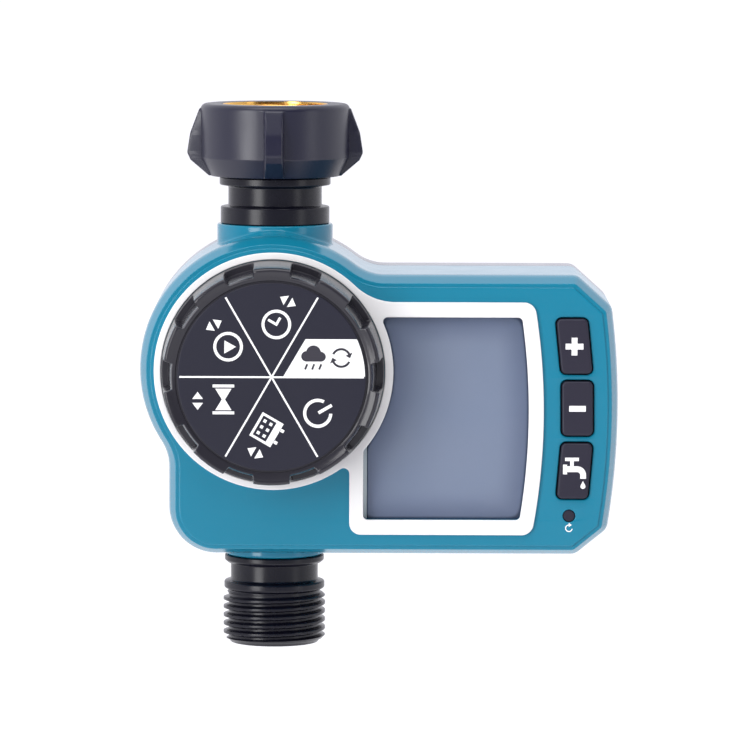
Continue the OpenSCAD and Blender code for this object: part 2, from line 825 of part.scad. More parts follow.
// Strainer: a flat rim on the washer with a shallow dome of wire mesh
module filter_screen() {
    dome_r = 6.6;
    rise = 1.2;
    ball_r = (dome_r * dome_r + rise * rise) / (2 * rise);
    color(steel) in_case() {
        translate([0, 0, washer_top]) difference() {
            cylinder(r = 11.4, h = 0.5);
            translate([0, 0, -1]) cylinder(r = dome_r - 0.4, h = 3);
        }
        translate([0, 0, washer_top + 0.3 + rise - ball_r]) intersection() {
            difference() {
                sphere(r = ball_r);
                sphere(r = ball_r - 0.4);
            }
            translate([0, 0, ball_r - rise - 0.2]) cylinder(r = dome_r, h = 4);
        }
    }
}

outlet_neck_r = 11.5;
outlet_bore_r = 8.5;
thread_root_r = 12.1;
outlet_end = -74.2;
outlet_turns = 5;
first_crest = -61.3;

module outlet_fitting() {
    outline = concat(
        [[0, valve_bottom], [outlet_in_collar_r, valve_bottom], [outlet_in_collar_r, outlet_collar_bottom],
            [13.1, outlet_collar_bottom], [13.1, -52.2], [12.5, -53], [outlet_neck_r, -53],
            [outlet_neck_r, -57.6], [12.9, -58], [13.25, -58.5], [13.25, -59.3], [12.6, -60.2],
            [thread_root_r, -60.4]],
        thread_points(male_crest_r, thread_root_r, first_crest + 0.2, outlet_turns),
        [[thread_root_r, -73], [11.45, outlet_end], [0, outlet_end]]
    );
    color(ink) in_case() {
        difference() {
            rotate_extrude() polygon(outline);
            rod_z(outlet_bore_r, outlet_end - 1, valve_bottom + 1);
        }
        spigot(valve_bottom - eps, -35.2, -40, bore_r);
    }
}

module outlet_seal() {
    color(rubber) in_case() torus_z(8.75, 0.7, -40);
}

// ---------- diaphragm and solenoid ----------

module diaphragm() {
    color(rubber) in_case() on_valve_axis() difference() {
        rod_x(12.6, seat_x, bonnet_x);
        translate([0, 7.5, 0]) rod_x(0.5, seat_x - 1, bonnet_x + 1);
    }
}

lift = 2;
plate_t = 1.5;

module diaphragm_plate() {
    color("white") in_case() on_valve_axis() difference() {
        rod_x(6.8, bonnet_x, bonnet_x + plate_t);
        rod_x(0.6, bonnet_x - 1, bonnet_x + plate_t + 1);
    }
}

bonnet_flange_t = 4;
bonnet_end = 29;
tube_r = 5;
tube_in_r = 4.05;
tube_start = bonnet_end - 1.4;

module valve_bonnet() {
    color(ink) in_case() difference() {
        union() {
            on_valve_axis() rod_x(flange_r, bonnet_x, bonnet_x + bonnet_flange_t);
            on_valve_axis() rod_x(12, bonnet_x, bonnet_end);
            on_valve_axis() difference() {
                rod_x(flange_r, seat_x, bonnet_x + 1);
                rod_x(12.6, seat_x - 1, bonnet_x);
            }
        }
        on_valve_axis() rod_x(chamber_r, bonnet_x - eps, bonnet_x + plate_t + lift + 0.3);
        on_valve_axis() rod_x(0.8, bonnet_x, bonnet_end + 1);
        on_valve_axis() rod_x(tube_r, tube_start, bonnet_end + 1);
        at_bonnet_screws() rod_x(1.2, seat_x - 1, bonnet_x + bonnet_flange_t + 1);
    }
}

module bonnet_screws() {
    head_x = bonnet_x + bonnet_flange_t;
    color(steel) in_case() at_bonnet_screws() {
        rod_x(1, 12, head_x + eps);
        rod_x(1.9, head_x, head_x + 1.4);
    }
}

plunger_r = 4;
plunger_start = 28.6;
plunger_end = 43;
pole_start = 46;
pole_end = 54;
coil_start = 30.4;
coil_end = 50.4;
yoke_t = 1.2;
spring_seat = 38;

module core_tube() {
    color(steel) in_case() on_valve_axis() difference() {
        rod_x(tube_r, tube_start, pole_end);
        rod_x(tube_in_r, bonnet_end - 0.4, pole_end + 1);
        rod_x(0.8, tube_start - 1, bonnet_end);
    }
}

module pole_piece() {
    color(steel) in_case() on_valve_axis() rod_x(tube_in_r, pole_start, pole_end);
}

module plunger() {
    color(steel) in_case() on_valve_axis() difference() {
        rod_x(plunger_r, plunger_start, plunger_end);
        rod_x(2.6, spring_seat, plunger_end + 1);
    }
}

module plunger_spring() {
    color(steel) in_case() on_valve_axis() spring_x(spring_seat, pole_start, 2, 2, 6, 0.25);
}

module coil_bobbin() {
    cheek = 1;
    color("white") in_case() on_valve_axis() difference() {
        rod_x(9.8, coil_start + yoke_t, coil_end);
        difference() {
            rod_x(11, coil_start + yoke_t + cheek, coil_end - cheek);
            rod_x(6.1, coil_start, coil_end + 1);
        }
        rod_x(tube_r + 0.05, coil_start, coil_end + 1);
    }
}

module solenoid_coil() {
    color(copper) in_case() on_valve_axis() difference() {
        rod_x(9.3, coil_start + yoke_t + 1, coil_end - 1);
        rod_x(6.1, coil_start, coil_end + 1);
    }
}

module solenoid_yoke() {
    half = 10;
    color(steel) in_case() on_valve_axis() difference() {
        box([coil_start, -half, -half], [coil_end + yoke_t, half, half + yoke_t]);
        box([coil_start + yoke_t, -half - 1, -half - 1], [coil_end, half + 1, half]);
        rod_x(tube_r + 0.05, coil_start - 1, coil_end + yoke_t + 1);
    }
}

module core_nut() {
    color(steel) in_case() on_valve_axis() difference() {
        translate([coil_end + yoke_t, 0, 0]) rotate([0, 90, 0]) cylinder(r = 7.5, h = 2, $fn = 6);
        rod_x(tube_r, coil_end, pole_end + 1);
    }
}

module solenoid_leads() {
    // one wire for each end of the coil, from the bobbin's cheek round the yoke to the board
    color([0.8, 0.2, 0.15]) in_case() for (s = [0, 1]) {
        wire([[48.6, -10.42, 2 * s], [50.2, -10.7, 2 * s], [51.8, -11, 1.8 * s], [52.8 + 2 * s, -12, s],
            [53.4 + 3 * s, -13.4, -1.6], [53.6 + 3 * s, -15, -4], [53.6 + 3 * s, -16.2, -4.5],
            [53.6 + 3 * s, board_back_y, -4.5]], 0.55);
    }
}

// ---------- battery drawer ----------

tray_low = [bay_low[0] + 0.2, bay_low[1] + 0.6, bay_low[2] + 0.4];
tray_high = [bay_high[0] - 0.2, back_y - 1, bay_high[2] - 0.4];
face_low = [recess_low[0] + 0.2, back_y - 1, recess_low[2] + 0.2];
face_high = [recess_high[0] - 0.2, back_y + 0.2, recess_high[2] - 0.2];
cell_r = 5.2;
cell_y = 14.4;
shelf_z = (tray_low[2] + tray_high[2]) / 2;
cell_zs = [shelf_z - 5.4, shelf_z + 5.4];
cell_x0 = tray_low[0] + 2.7;
cell_x1 = tray_high[0] - 1.4;
tray_wall = 1;
contact_t = 0.3;
grip_groove = 0.6;

module battery_drawer() {
    color(charcoal) in_case() {
        difference() {
            box(face_low, face_high);
            for (i = [-2:2]) for (x = [30, 68]) {
                grip_z = shelf_z - grip_groove / 2 + 3.4 * i;
                translate([x, face_high[1] - 0.4, grip_z]) cube([8, 1, grip_groove]);
            }
        }
        box([44, face_high[1] - eps, shelf_z - 1], [62, face_high[1] + 2, shelf_z + 1]);
        box(tray_low, [tray_low[0] + tray_wall, tray_high[1] + eps, tray_high[2]]);
        box([tray_high[0] - tray_wall, tray_low[1], tray_low[2]],
            [tray_high[0], tray_high[1] + eps, tray_high[2]]);
        box([tray_low[0] + tray_wall + contact_t + 0.1, tray_low[1], shelf_z - 0.15],
            [tray_high[0], tray_high[1] + eps, shelf_z + 0.15]);
        box([tray_low[0], cell_y + cell_r + 0.2, tray_low[2]],
            [tray_high[0], cell_y + cell_r + 1.2, tray_high[2]]);
    }
}

module drawer_seal() {
    color(rubber) in_case() difference() {
        box([face_low[0], recess_low[1], face_low[2]], [face_high[0], face_low[1], face_high[2]]);
        box([tray_low[0], 0, tray_low[2]], [tray_high[0], 40, tray_high[2]]);
    }
}

// The lower cell points right and the upper one points left
module in_cell_places() {
    translate([0, cell_y, cell_zs[0]]) children();
    translate([tray_low[0] + tray_high[0], cell_y, cell_zs[1]]) mirror([1, 0, 0]) children();
}

module battery_cells() {
    nub = 1.2;
    color([0.25, 0.45, 0.3]) in_case() in_cell_places() {
        rod_x(cell_r, cell_x0, cell_x1 - nub);
        rod_x(1.9, cell_x1 - nub - eps, cell_x1);
    }
}

module battery_springs() {
    spring_start = tray_low[0] + tray_wall + contact_t;
    color(steel) in_case() in_cell_places() spring_x(spring_start, cell_x0, 3.6, 2, 2, 0.2);
}

module drawer_contacts() {
    left = tray_low[0] + tray_wall;
    right = tray_high[0] - tray_wall;
    color(steel) in_case() {
        box([left, cell_y - 4, cell_zs[0] - 4], [left + contact_t, cell_y + 4, cell_zs[1] + 4]);
        for (z = cell_zs) box([right - contact_t, cell_y - 4, z - 4], [right, cell_y + 4, z + 4]);
    }
}

module bay_contacts() {
    color(gold) in_case() for (z = cell_zs) {
        box([70, bay_low[1], z - 2], [74, bay_low[1] + 0.4, z + 2]);
    }
}

module battery_leads() {
    color([0.7, 0.15, 0.12]) in_case() for (i = [0, 1]) {
        x = 71 + 2 * i;
        z = cell_zs[i];
        top = bay_low[1] - bay_wall;
        wire([[x, top, z], [x, top - 4, z], [x - 1, top - 10, z + 1], [x - 3, -8, z + 2],
            [x - 4, -14, z + 2], [x - 4, board_back_y, z + 2]], 0.6);
    }
}

front_housing();
rear_cover();
case_seal();
case_screws();
bezel_trim();
screen_lens();
lcd_glass();
lcd_frame();
lcd_connector();
circuit_board();
board_screws();
board_chips();
board_small_parts();
tact_switches();
plus_button();
minus_button();
water_button();
reset_button();
dial_knob();
dial_label();
dial_shaft();
dial_clip();
dial_seal();
rotary_switch();
switch_rotor();
valve_body();
inlet_neck();
inlet_seal();
inlet_tailpiece();
coupling_nut();
thread_insert();
inlet_washer();
filter_screen();
outlet_fitting();
outlet_seal();
diaphragm();
diaphragm_plate();
valve_bonnet();
bonnet_screws();
core_tube();
pole_piece();
plunger();
plunger_spring();
coil_bobbin();
solenoid_coil();
solenoid_yoke();
core_nut();
solenoid_leads();
battery_drawer();
drawer_seal();
battery_cells();
battery_springs();
drawer_contacts();
bay_contacts();
battery_leads();
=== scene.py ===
"""Drip irrigation timer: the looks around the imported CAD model.

Shapes are drawn in millimetres about the dial's centre, X to the screen, Y to the back and Z up,
and make() turns them into metres in the model's frame.
"""
import json
from math import asin, atan2, cos, degrees, dist, pi, radians, sin, sqrt, tan, tau

import bmesh
import bpy
from mathutils import Matrix, Vector
from mathutils.geometry import tessellate_polygon


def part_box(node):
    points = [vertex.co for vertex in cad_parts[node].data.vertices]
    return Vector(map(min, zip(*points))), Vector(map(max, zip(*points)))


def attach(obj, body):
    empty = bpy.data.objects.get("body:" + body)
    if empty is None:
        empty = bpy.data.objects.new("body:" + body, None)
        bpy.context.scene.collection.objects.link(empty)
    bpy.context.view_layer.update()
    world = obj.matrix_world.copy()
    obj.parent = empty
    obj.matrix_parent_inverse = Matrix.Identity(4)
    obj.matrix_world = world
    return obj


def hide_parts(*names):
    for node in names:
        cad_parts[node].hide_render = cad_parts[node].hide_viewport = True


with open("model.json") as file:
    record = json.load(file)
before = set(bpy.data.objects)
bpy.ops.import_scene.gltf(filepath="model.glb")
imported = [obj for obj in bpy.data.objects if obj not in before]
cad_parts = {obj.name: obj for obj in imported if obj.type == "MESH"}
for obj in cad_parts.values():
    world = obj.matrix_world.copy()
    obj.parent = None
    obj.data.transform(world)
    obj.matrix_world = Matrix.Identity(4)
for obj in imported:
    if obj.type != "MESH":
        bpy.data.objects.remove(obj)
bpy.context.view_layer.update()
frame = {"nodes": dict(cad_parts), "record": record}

# ---- sizes: millimetres about the dial's centre, DIAL_Z alone in metres ----

MM = 0.001
label_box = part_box("dial_label")
DIAL_Z = (label_box[0].z + label_box[1].z) / 2


def size_of(node):
    """Lowest and highest corner of a CAD node."""
    return [(corner.x / MM, corner.y / MM, (corner.z - DIAL_Z) / MM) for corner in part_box(node)]


(_, FRONT_Y, LOW_COLLAR_END), (_, SEAM_Y, COLLAR_TOP) = size_of("front_housing")
BACK_Y = size_of("rear_cover")[1][1]
BEZEL_Y = size_of("bezel_trim")[0][1]
WALL = 2.2
PLATE_BACK_Y = FRONT_Y + 2.4
FLANGE_Y = PLATE_BACK_Y + 0.2
SHOULDER_Y = FRONT_Y + 6
FLARE = 1.9
INNER = FLARE - WALL

# ---- outlines ----


def polar(radius, angle, centre=(0, 0)):
    """The point at a distance and an angle in degrees from a centre."""
    return (centre[0] + radius * cos(radians(angle)), centre[1] + radius * sin(radians(angle)))


def turned(point, turn):
    """A point turned about the origin by an angle in radians."""
    a, b = point
    return (a * cos(turn) - b * sin(turn), a * sin(turn) + b * cos(turn))


def between(a, b, share):
    return a + (b - a) * share


def arc(radius, first, last, steps, centre=(0, 0)):
    """Points along a circle from one angle to another, both ends included."""
    return [polar(radius, between(first, last, i / steps), centre) for i in range(steps + 1)]


def smooth(share):
    """A share from 0 to 1 that starts and ends gently."""
    return share * share * (3 - 2 * share)


def angle_of(x, z):
    return degrees(atan2(z, x))


def leg(hypotenuse, other):
    """The third side of a right triangle."""
    return sqrt(hypotenuse ** 2 - other ** 2)


def meet_circle(p, u, centre, reach):
    """The point at distance reach from centre, going from p along the unit vector u, and its angle there."""
    w = (p[0] - centre[0], p[1] - centre[1])
    b = w[0] * u[0] + w[1] * u[1]
    t = -b + sqrt(b * b - w[0] ** 2 - w[1] ** 2 + reach * reach)
    x, z = p[0] + t * u[0], p[1] + t * u[1]
    return (x, z), angle_of(x - centre[0], z - centre[1])


class Outline:
    """A closed outline of arcs (centre, radius, way it grows, first angle, last angle, steps)."""

    def __init__(self, *arcs):
        self.arcs = arcs
        base = self.every_point(0)
        after = base[1:] + base[:1]
        self.kept = [i for i, (p, q) in enumerate(zip(base, after)) if dist(p, q) > 1e-3]

    def every_point(self, grow):
        return [point for centre, radius, way, first, last, steps in self.arcs
                for point in arc(radius + way * grow, first, last, steps, centre)]

    def at(self, grow):
        points = self.every_point(grow)
        return [points[i] for i in self.kept]


def circle(x, z, radius, steps=48):
    return Outline(((x, z), radius, 1, 0, 360, steps))


def box_outline(low_x, low_z, high_x, high_z, corner, steps=6):
    """A rectangle with rounded corners."""
    left, right, low, high = low_x + corner, high_x - corner, low_z + corner, high_z - corner
    return Outline(*[(middle, corner, 1, first, first + 90, steps) for middle, first in (
        ((left, low), 180), ((right, low), 270), ((right, high), 0), ((left, high), 90))])


CASE_R = 32.8


def case_outline():
    """The round part, the wing with its bowed end, and a chamfer at both of the wing's far corners."""
    top, bottom, left, right, bow_r = 22.9, -46.3, -25.2, 87.8, 193.5
    corner, big_corner, left_r, top_r = 1.5, 10.5, 14.0, 15.0
    low_a, high_a = 38.9, 137.9
    bow = (right - bow_r, -9.5)
    low_start, high_end = (right - 9.7, bottom), (right - 9.6, top)
    low_in, high_in = polar(corner, low_a + 90, low_start), polar(corner, high_a + 90, high_end)
    low_round = (low_start[0] - corner * tan(radians(low_a / 2)), bottom + corner)
    high_round = (high_end[0] - corner * tan(radians(90 - high_a / 2)), top - corner)
    low_bow, low_bow_a = meet_circle(low_in, polar(1, low_a), bow, bow_r - corner)
    high_bow, high_bow_a = meet_circle(high_in, polar(1, high_a + 180), bow, bow_r - corner)
    left_blend = (left - left_r, -leg(CASE_R + left_r, left - left_r))
    top_blend = (leg(CASE_R + top_r, top + top_r), top + top_r)
    left_a, top_a = angle_of(*left_blend), angle_of(*top_blend)
    return Outline(
        ((0, 0), CASE_R, 1, top_a, 360 + left_a, 120),
        (left_blend, left_r, -1, 180 + left_a, 0, 14),
        ((left + big_corner, bottom + big_corner), big_corner, 1, 180, 270, 24),
        (low_round, corner, 1, 270, 270 + low_a, 6),
        (low_bow, corner, 1, low_a - 90, low_bow_a, 6),
        (bow, bow_r, 1, low_bow_a, high_bow_a, 24),
        (high_bow, corner, 1, high_bow_a, high_a - 90, 6),
        (high_round, corner, 1, high_a - 90, 90, 6),
        (top_blend, top_r, -1, 270, 180 + top_a, 18))


FRAME_BOW_R = 168.3
FRAME_BOW = (70.2 - FRAME_BOW_R, -10.8)
RING_IN_R = 29.05


def bezel_outline():
    ring_r, top, bottom, left = 30.8, 18.1, -42.4, 19.9
    blend_r, corner, low_corner, notch_r = 15.0, 3.2, 3.0, 1.5
    blend = (leg(ring_r + blend_r, top + blend_r), top + blend_r)
    notch = (left - notch_r, -leg(ring_r + notch_r, left - notch_r))
    high, high_a = meet_circle((0, top - corner), (1, 0), FRAME_BOW, FRAME_BOW_R - corner)
    low, low_a = meet_circle((0, bottom + corner), (1, 0), FRAME_BOW, FRAME_BOW_R - corner)
    blend_a, notch_a = angle_of(*blend), angle_of(*notch)
    return Outline(
        ((0, 0), ring_r, 1, blend_a, 360 + notch_a, 120),
        (notch, notch_r, -1, 180 + notch_a, 0, 8),
        ((left + low_corner, bottom + low_corner), low_corner, 1, 180, 270, 12),
        (low, corner, 1, -90, low_a, 12),
        (FRAME_BOW, FRAME_BOW_R, 1, low_a, high_a, 24),
        (high, corner, 1, high_a, 90, 12),
        (blend, blend_r, -1, 270, 180 + blend_a, 18))


WINDOW_TOP, WINDOW_BOTTOM, WINDOW_LEFT, WINDOW_ROUND_R, WINDOW_BOW_R = 14.2, -38.5, 23.5, 31.2, 170.0
WINDOW_BOW = (66.3 - WINDOW_BOW_R, -10.8)


def window_outline():
    corner = 1.2
    in_x, in_top, in_bottom = WINDOW_LEFT + corner, WINDOW_TOP - corner, WINDOW_BOTTOM + corner
    reach = WINDOW_ROUND_R + corner
    side, tip = (in_x, -leg(reach, in_x)), (leg(reach, in_top), in_top)
    high, high_a = meet_circle((0, in_top), (1, 0), WINDOW_BOW, WINDOW_BOW_R - corner)
    low, low_a = meet_circle((0, in_bottom), (1, 0), WINDOW_BOW, WINDOW_BOW_R - corner)
    side_a, tip_a = angle_of(*side), angle_of(*tip)
    return Outline(
        ((in_x, in_bottom), corner, 1, 180, 270, 6),
        (low, corner, 1, -90, low_a, 6),
        (WINDOW_BOW, WINDOW_BOW_R, 1, low_a, high_a, 24),
        (high, corner, 1, high_a, 90, 6),
        (tip, corner, 1, 90, 180 + tip_a, 8),
        ((0, 0), WINDOW_ROUND_R, -1, tip_a, side_a, 24),
        (side, corner, 1, 180 + side_a, 180, 6))


# Buttons stand in a column whose sides follow the frame's bow. Heights of each one's foot and top:
BUTTON_SPANS = {"plus_button": (-0.3, 13.9), "minus_button": (-16.4, -2.3), "water_button": (-32.8, -18.4)}
COLUMN_IN_R, COLUMN_OUT_R, BUTTON_CORNER, BUTTON_GAP = 173.15, 181.1, 1.3, 0.35
RESET_AT, RESET_R = (76.9, -37.4), 1.55


def button_corners(name):
    low, high = BUTTON_SPANS[name]
    corners = (COLUMN_IN_R, low), (COLUMN_OUT_R, low), (COLUMN_OUT_R, high), (COLUMN_IN_R, high)
    return [(FRAME_BOW[0] + leg(radius, z - FRAME_BOW[1]), z) for radius, z in corners]


def button_outline(name):
    """The button's four corners, rounded."""
    p = [Vector(q) for q in button_corners(name)]
    arcs = []
    for i in range(4):
        u, v = (p[i] - p[i - 1]).normalized(), (p[(i + 1) % 4] - p[i]).normalized()
        a, b = Vector((-u.y, u.x)), Vector((-v.y, v.x))
        centre = p[i] + BUTTON_CORNER * (a + b) / (1 + a.dot(b))
        first, last = angle_of(-a.x, -a.y), angle_of(-b.x, -b.y)
        arcs.append((tuple(centre), BUTTON_CORNER, 1, first, last + 360 if last < first else last, 6))
    return Outline(*arcs)


def button_middle(name):
    corners = button_corners(name)
    return (sum(c[0] for c in corners) / 4, sum(c[1] for c in corners) / 4)


# ---- mesh building ----

def rounded(*corners, steps=4):
    """An open path through corners (a, b), or (a, b, radius) where one is rounded."""
    path = []
    for i, (a, b, *rest) in enumerate(corners):
        if not rest:
            path.append((a, b))
            continue
        p, radius = Vector((a, b)), rest[0]
        back, on = [(Vector(corners[j][:2]) - p).normalized() for j in (i - 1, i + 1)]
        half = back.angle(on) / 2
        centre = p + (back + on).normalized() * radius / sin(half)
        first, last = p + back * radius / tan(half) - centre, p + on * radius / tan(half) - centre
        turn = atan2(first.x * last.y - first.y * last.x, first.dot(last))
        for k in range(steps + 1):
            spoke = Matrix.Rotation(turn * k / steps, 2) @ first
            path.append((centre.x + spoke.x, centre.y + spoke.y))
    return path


class Shape:
    """Points in millimetres about the dial's centre, and the faces between them."""

    def __init__(self):
        self.points = []
        self.faces = []

    def ring(self, points):
        first = len(self.points)
        self.points.extend(points)
        return list(range(first, len(self.points)))

    def turned_ring(self, spot_at, steps):
        """A ring about the Z axis; spot_at gives the radius and Z at each angle."""
        turns = [tau * i / steps for i in range(steps)]
        spots = [(turn, *spot_at(turn)) for turn in turns]
        return self.ring([(radius * cos(turn), radius * sin(turn), z) for turn, radius, z in spots])

    def band(self, a, b):
        for i in range(len(a)):
            j = (i + 1) % len(a)
            self.faces.append((a[i], a[j], b[j], b[i]))

    def bands(self, rings):
        for a, b in zip(rings, rings[1:]):
            self.band(a, b)
        return rings

    def cap(self, outer, *holes):
        loops = [outer, *holes]
        flat = [i for loop in loops for i in loop]
        for triangle in tessellate_polygon([[Vector(self.points[i]) for i in loop] for loop in loops]):
            self.faces.append(tuple(flat[i] for i in triangle))

    def cap_ends(self, outer, *holes):
        """Closes the first and the last ring of a tube, with other tubes as holes through it."""
        for end in (0, -1):
            self.cap(outer[end], *[hole[end] for hole in holes])
        return self

    def loft(self, outline, steps):
        """Rings of an outline at each (growth, Y), joined in order; returns the rings."""
        return self.bands([self.ring([(x, y, z) for x, z in outline.at(grow)]) for grow, y in steps])

    def lathe(self, profile, steps=96, radius_at=None):
        """Rings about the Z axis through (radius, Z); radius_at may change a radius by its angle."""
        return self.bands([
            self.turned_ring(lambda turn, r=r, z=z: (radius_at(r, z, turn) if radius_at else r, z), steps)
            for r, z in profile])

    def closed_lathe(self, profile, steps=96, radius_at=None):
        """A lathe whose last ring joins its first, so the profile is a closed section."""
        rings = self.lathe(profile, steps, radius_at)
        self.band(rings[-1], rings[0])
        return self

    def cup(self, outline, steps):
        """A loft with its last ring closed; returns the first ring."""
        rings = self.loft(outline, steps)
        self.cap(rings[-1])
        return rings[0]

    def solid(self, outline, steps):
        """A loft with flat ends."""
        return self.cap_ends(self.loft(outline, steps))

    def moved(self, change):
        self.points = [change(p) for p in self.points]
        return self

    def add(self, other):
        first = len(self.points)
        self.points.extend(other.points)
        self.faces.extend(tuple(i + first for i in face) for face in other.faces)
        return self


def new_object(name, data):
    made = bpy.data.objects.new(name, data)
    bpy.context.scene.collection.objects.link(made)
    return made


def make(name, shape, finish, body, *nodes, sharp=32, change=None):
    """Makes a piece that rides on a body and stands for the named CAD nodes, in a finish of MATERIALS."""
    mesh = bpy.data.meshes.new(name)
    mesh.from_pydata([(x * MM, y * MM, z * MM + DIAL_Z) for x, y, z in shape.points], [], shape.faces)
    build = bmesh.new()
    build.from_mesh(mesh)
    bmesh.ops.remove_doubles(build, verts=build.verts, dist=2e-6)
    bmesh.ops.dissolve_degenerate(build, edges=build.edges, dist=1e-7)
    bmesh.ops.recalc_face_normals(build, faces=build.faces)
    if change:
        change(build)
    build.to_mesh(mesh)
    build.free()
    mesh.shade_smooth()
    mesh.set_sharp_from_angle(angle=radians(sharp))
    mesh.materials.append(MATERIALS[finish])
    piece = new_object(name, mesh)
    piece.modifiers.new("weighted_normals", "WEIGHTED_NORMAL").keep_sharp = True
    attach(piece, body)
    if nodes:
        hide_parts(*nodes)


# ---- materials ----

MATERIALS = {}


def linear(red, green, blue):
    """A colour given as 0 to 255 on a screen, as light."""
    return tuple((c / 255 / 12.92) if c <= 10 else ((c / 255 + 0.055) / 1.055) ** 2.4
                 for c in (red, green, blue)) + (1,)


class Nodes:
    """The node tree of a material or a world, with short ways to add nodes and links."""

    def __init__(self, owner, shader):
        owner.use_nodes = True
        self.tree = owner.node_tree
        self.shader = self.tree.nodes[shader]
        self.places = self.add("TexCoord").outputs

    def feed(self, socket, value):
        """Links a socket to another one, or sets its value."""
        if isinstance(value, bpy.types.NodeSocket):
            self.tree.links.new(value, socket)
        else:
            socket.default_value = value

    def add(self, kind, inputs=None, **settings):
        made = self.tree.nodes.new("ShaderNode" + kind)
        for key, value in settings.items():
            setattr(made, key, value)
        for key, value in (inputs or {}).items():
            self.feed(made.inputs[key], value)
        return made

    def set(self, **values):
        for key, value in values.items():
            self.feed(self.shader.inputs[key.replace("_", " ")], value)

    def noise(self, feature_mm, detail=2.0, stretch=(1, 1, 1)):
        place = self.add("Mapping", {"Vector": self.places["Object"], "Scale": stretch}).outputs[0]
        return self.add("TexNoise", {
            "Vector": place, "Scale": 1 / (feature_mm * MM), "Detail": detail}).outputs["Fac"]

    def spread(self, value, low, high, first=0.3, last=0.7, **settings):
        """A value from first to last, spread from low to high."""
        return self.add("MapRange", {"Value": value, "From Min": first, "From Max": last,
                                     "To Min": low, "To Max": high}, **settings).outputs[0]

    def mix(self, factor, a, b):
        return self.add("Mix", {"Factor": factor, 6: a, 7: b}, data_type="RGBA").outputs[2]

    def drift(self, colour, shade, feature_mm):
        """A colour that drifts in slow waves to a darker shade of itself."""
        base = linear(*colour)
        darker = tuple(c * shade for c in base[:3]) + (1,)
        return self.mix(self.spread(self.noise(feature_mm), 0, 1), base, darker)

    def bump(self, height, depth_mm):
        return self.add("Bump", {"Height": height, "Distance": depth_mm * MM}).outputs[0]

    def math(self, operation, a, b=0.0):
        return self.add("Math", {0: a, 1: b}, operation=operation).outputs[0]


def material(name):
    MATERIALS[name] = bpy.data.materials.new(name)
    return Nodes(MATERIALS[name], "Principled BSDF")


def plastic(name, colour, rough=(0.45, 0.55), grain=0.25, depth=0.002, shade=0.95, coat=0.0, gloss=0.42):
    """Moulded plastic: fine surface grain, slow waves in gloss and a slight drift in colour."""
    nodes = material(name)
    nodes.set(Base_Color=nodes.drift(colour, shade, 22), Roughness=nodes.spread(nodes.noise(11), *rough),
              Specular_IOR_Level=gloss, Normal=nodes.bump(nodes.noise(grain, 3), depth),
              Coat_Weight=coat, Coat_Roughness=0.12)


def metal(name, colour, stretch=(1, 1, 6)):
    """Bare metal with fine tool marks."""
    nodes = material(name)
    marks = nodes.noise(0.8, 4, stretch)
    nodes.set(Base_Color=nodes.drift(colour, 0.8, 5), Metallic=1.0, Roughness=nodes.spread(marks, 0.18, 0.34),
              Normal=nodes.bump(marks, 0.0015))


def display(name):
    """The display behind its window: grey blue, with painted shade that darkens it towards the window's
    edges.
    """
    nodes = material(name)
    split = nodes.add("SeparateXYZ", {"Vector": nodes.places["Object"]})
    x = nodes.math("MULTIPLY", split.outputs[0], 1 / MM)
    z = nodes.math("MULTIPLY", nodes.math("SUBTRACT", split.outputs[2], DIAL_Z), 1 / MM)

    def reach(cx, cz):
        across = nodes.math("POWER", nodes.math("SUBTRACT", x, cx), 2.0)
        up = nodes.math("POWER", nodes.math("SUBTRACT", z, cz), 2.0)
        return nodes.math("SQRT", nodes.math("ADD", across, up))

    nearest, *others = [nodes.math("SUBTRACT", a, b) for a, b in (
        (WINDOW_TOP, z), (z, WINDOW_BOTTOM), (x, WINDOW_LEFT), (WINDOW_BOW_R, reach(*WINDOW_BOW)),
        (reach(0.0, 0.0), WINDOW_ROUND_R))]
    for edge in others:
        nearest = nodes.add("Math", {0: nearest, 1: edge, 2: 4.0}, operation="SMOOTH_MIN").outputs[0]
    # Painted shade: the colour eases from the middle grey blue down to a dark blue grey near the window's
    # edges, standing in for the shadow of the window's recess.
    painted_shade_ramp = nodes.add("ValToRGB", {"Fac": nodes.math("DIVIDE", nearest, 10.0)})
    edge, middle = painted_shade_ramp.color_ramp.elements
    # The edge colour and the one at 0.07 are painted shade.
    edge.color = linear(58, 63, 82)
    middle.color = linear(126, 132, 149)
    middle.position = 0.8
    painted_shade_ramp.color_ramp.elements.new(0.07).color = linear(110, 115, 135)
    painted_shade_ramp.color_ramp.interpolation = "EASE"
    nodes.set(Base_Color=painted_shade_ramp.outputs[0], Roughness=nodes.spread(nodes.noise(9), 0.38, 0.42),
              Specular_IOR_Level=0.25, Coat_Weight=0.7, Coat_Roughness=0.09)


def clear_window(name):
    """A faint tint over what is behind it; the display's coat carries the reflections."""
    nodes = material(name)
    tint = nodes.mix(nodes.spread(nodes.noise(14), 0, 1), (0.93, 0.95, 0.97, 1), (0.915, 0.94, 0.965, 1))
    clear = nodes.add("BsdfTransparent", {"Color": tint})
    nodes.feed(nodes.tree.nodes["Material Output"].inputs["Surface"], clear.outputs[0])


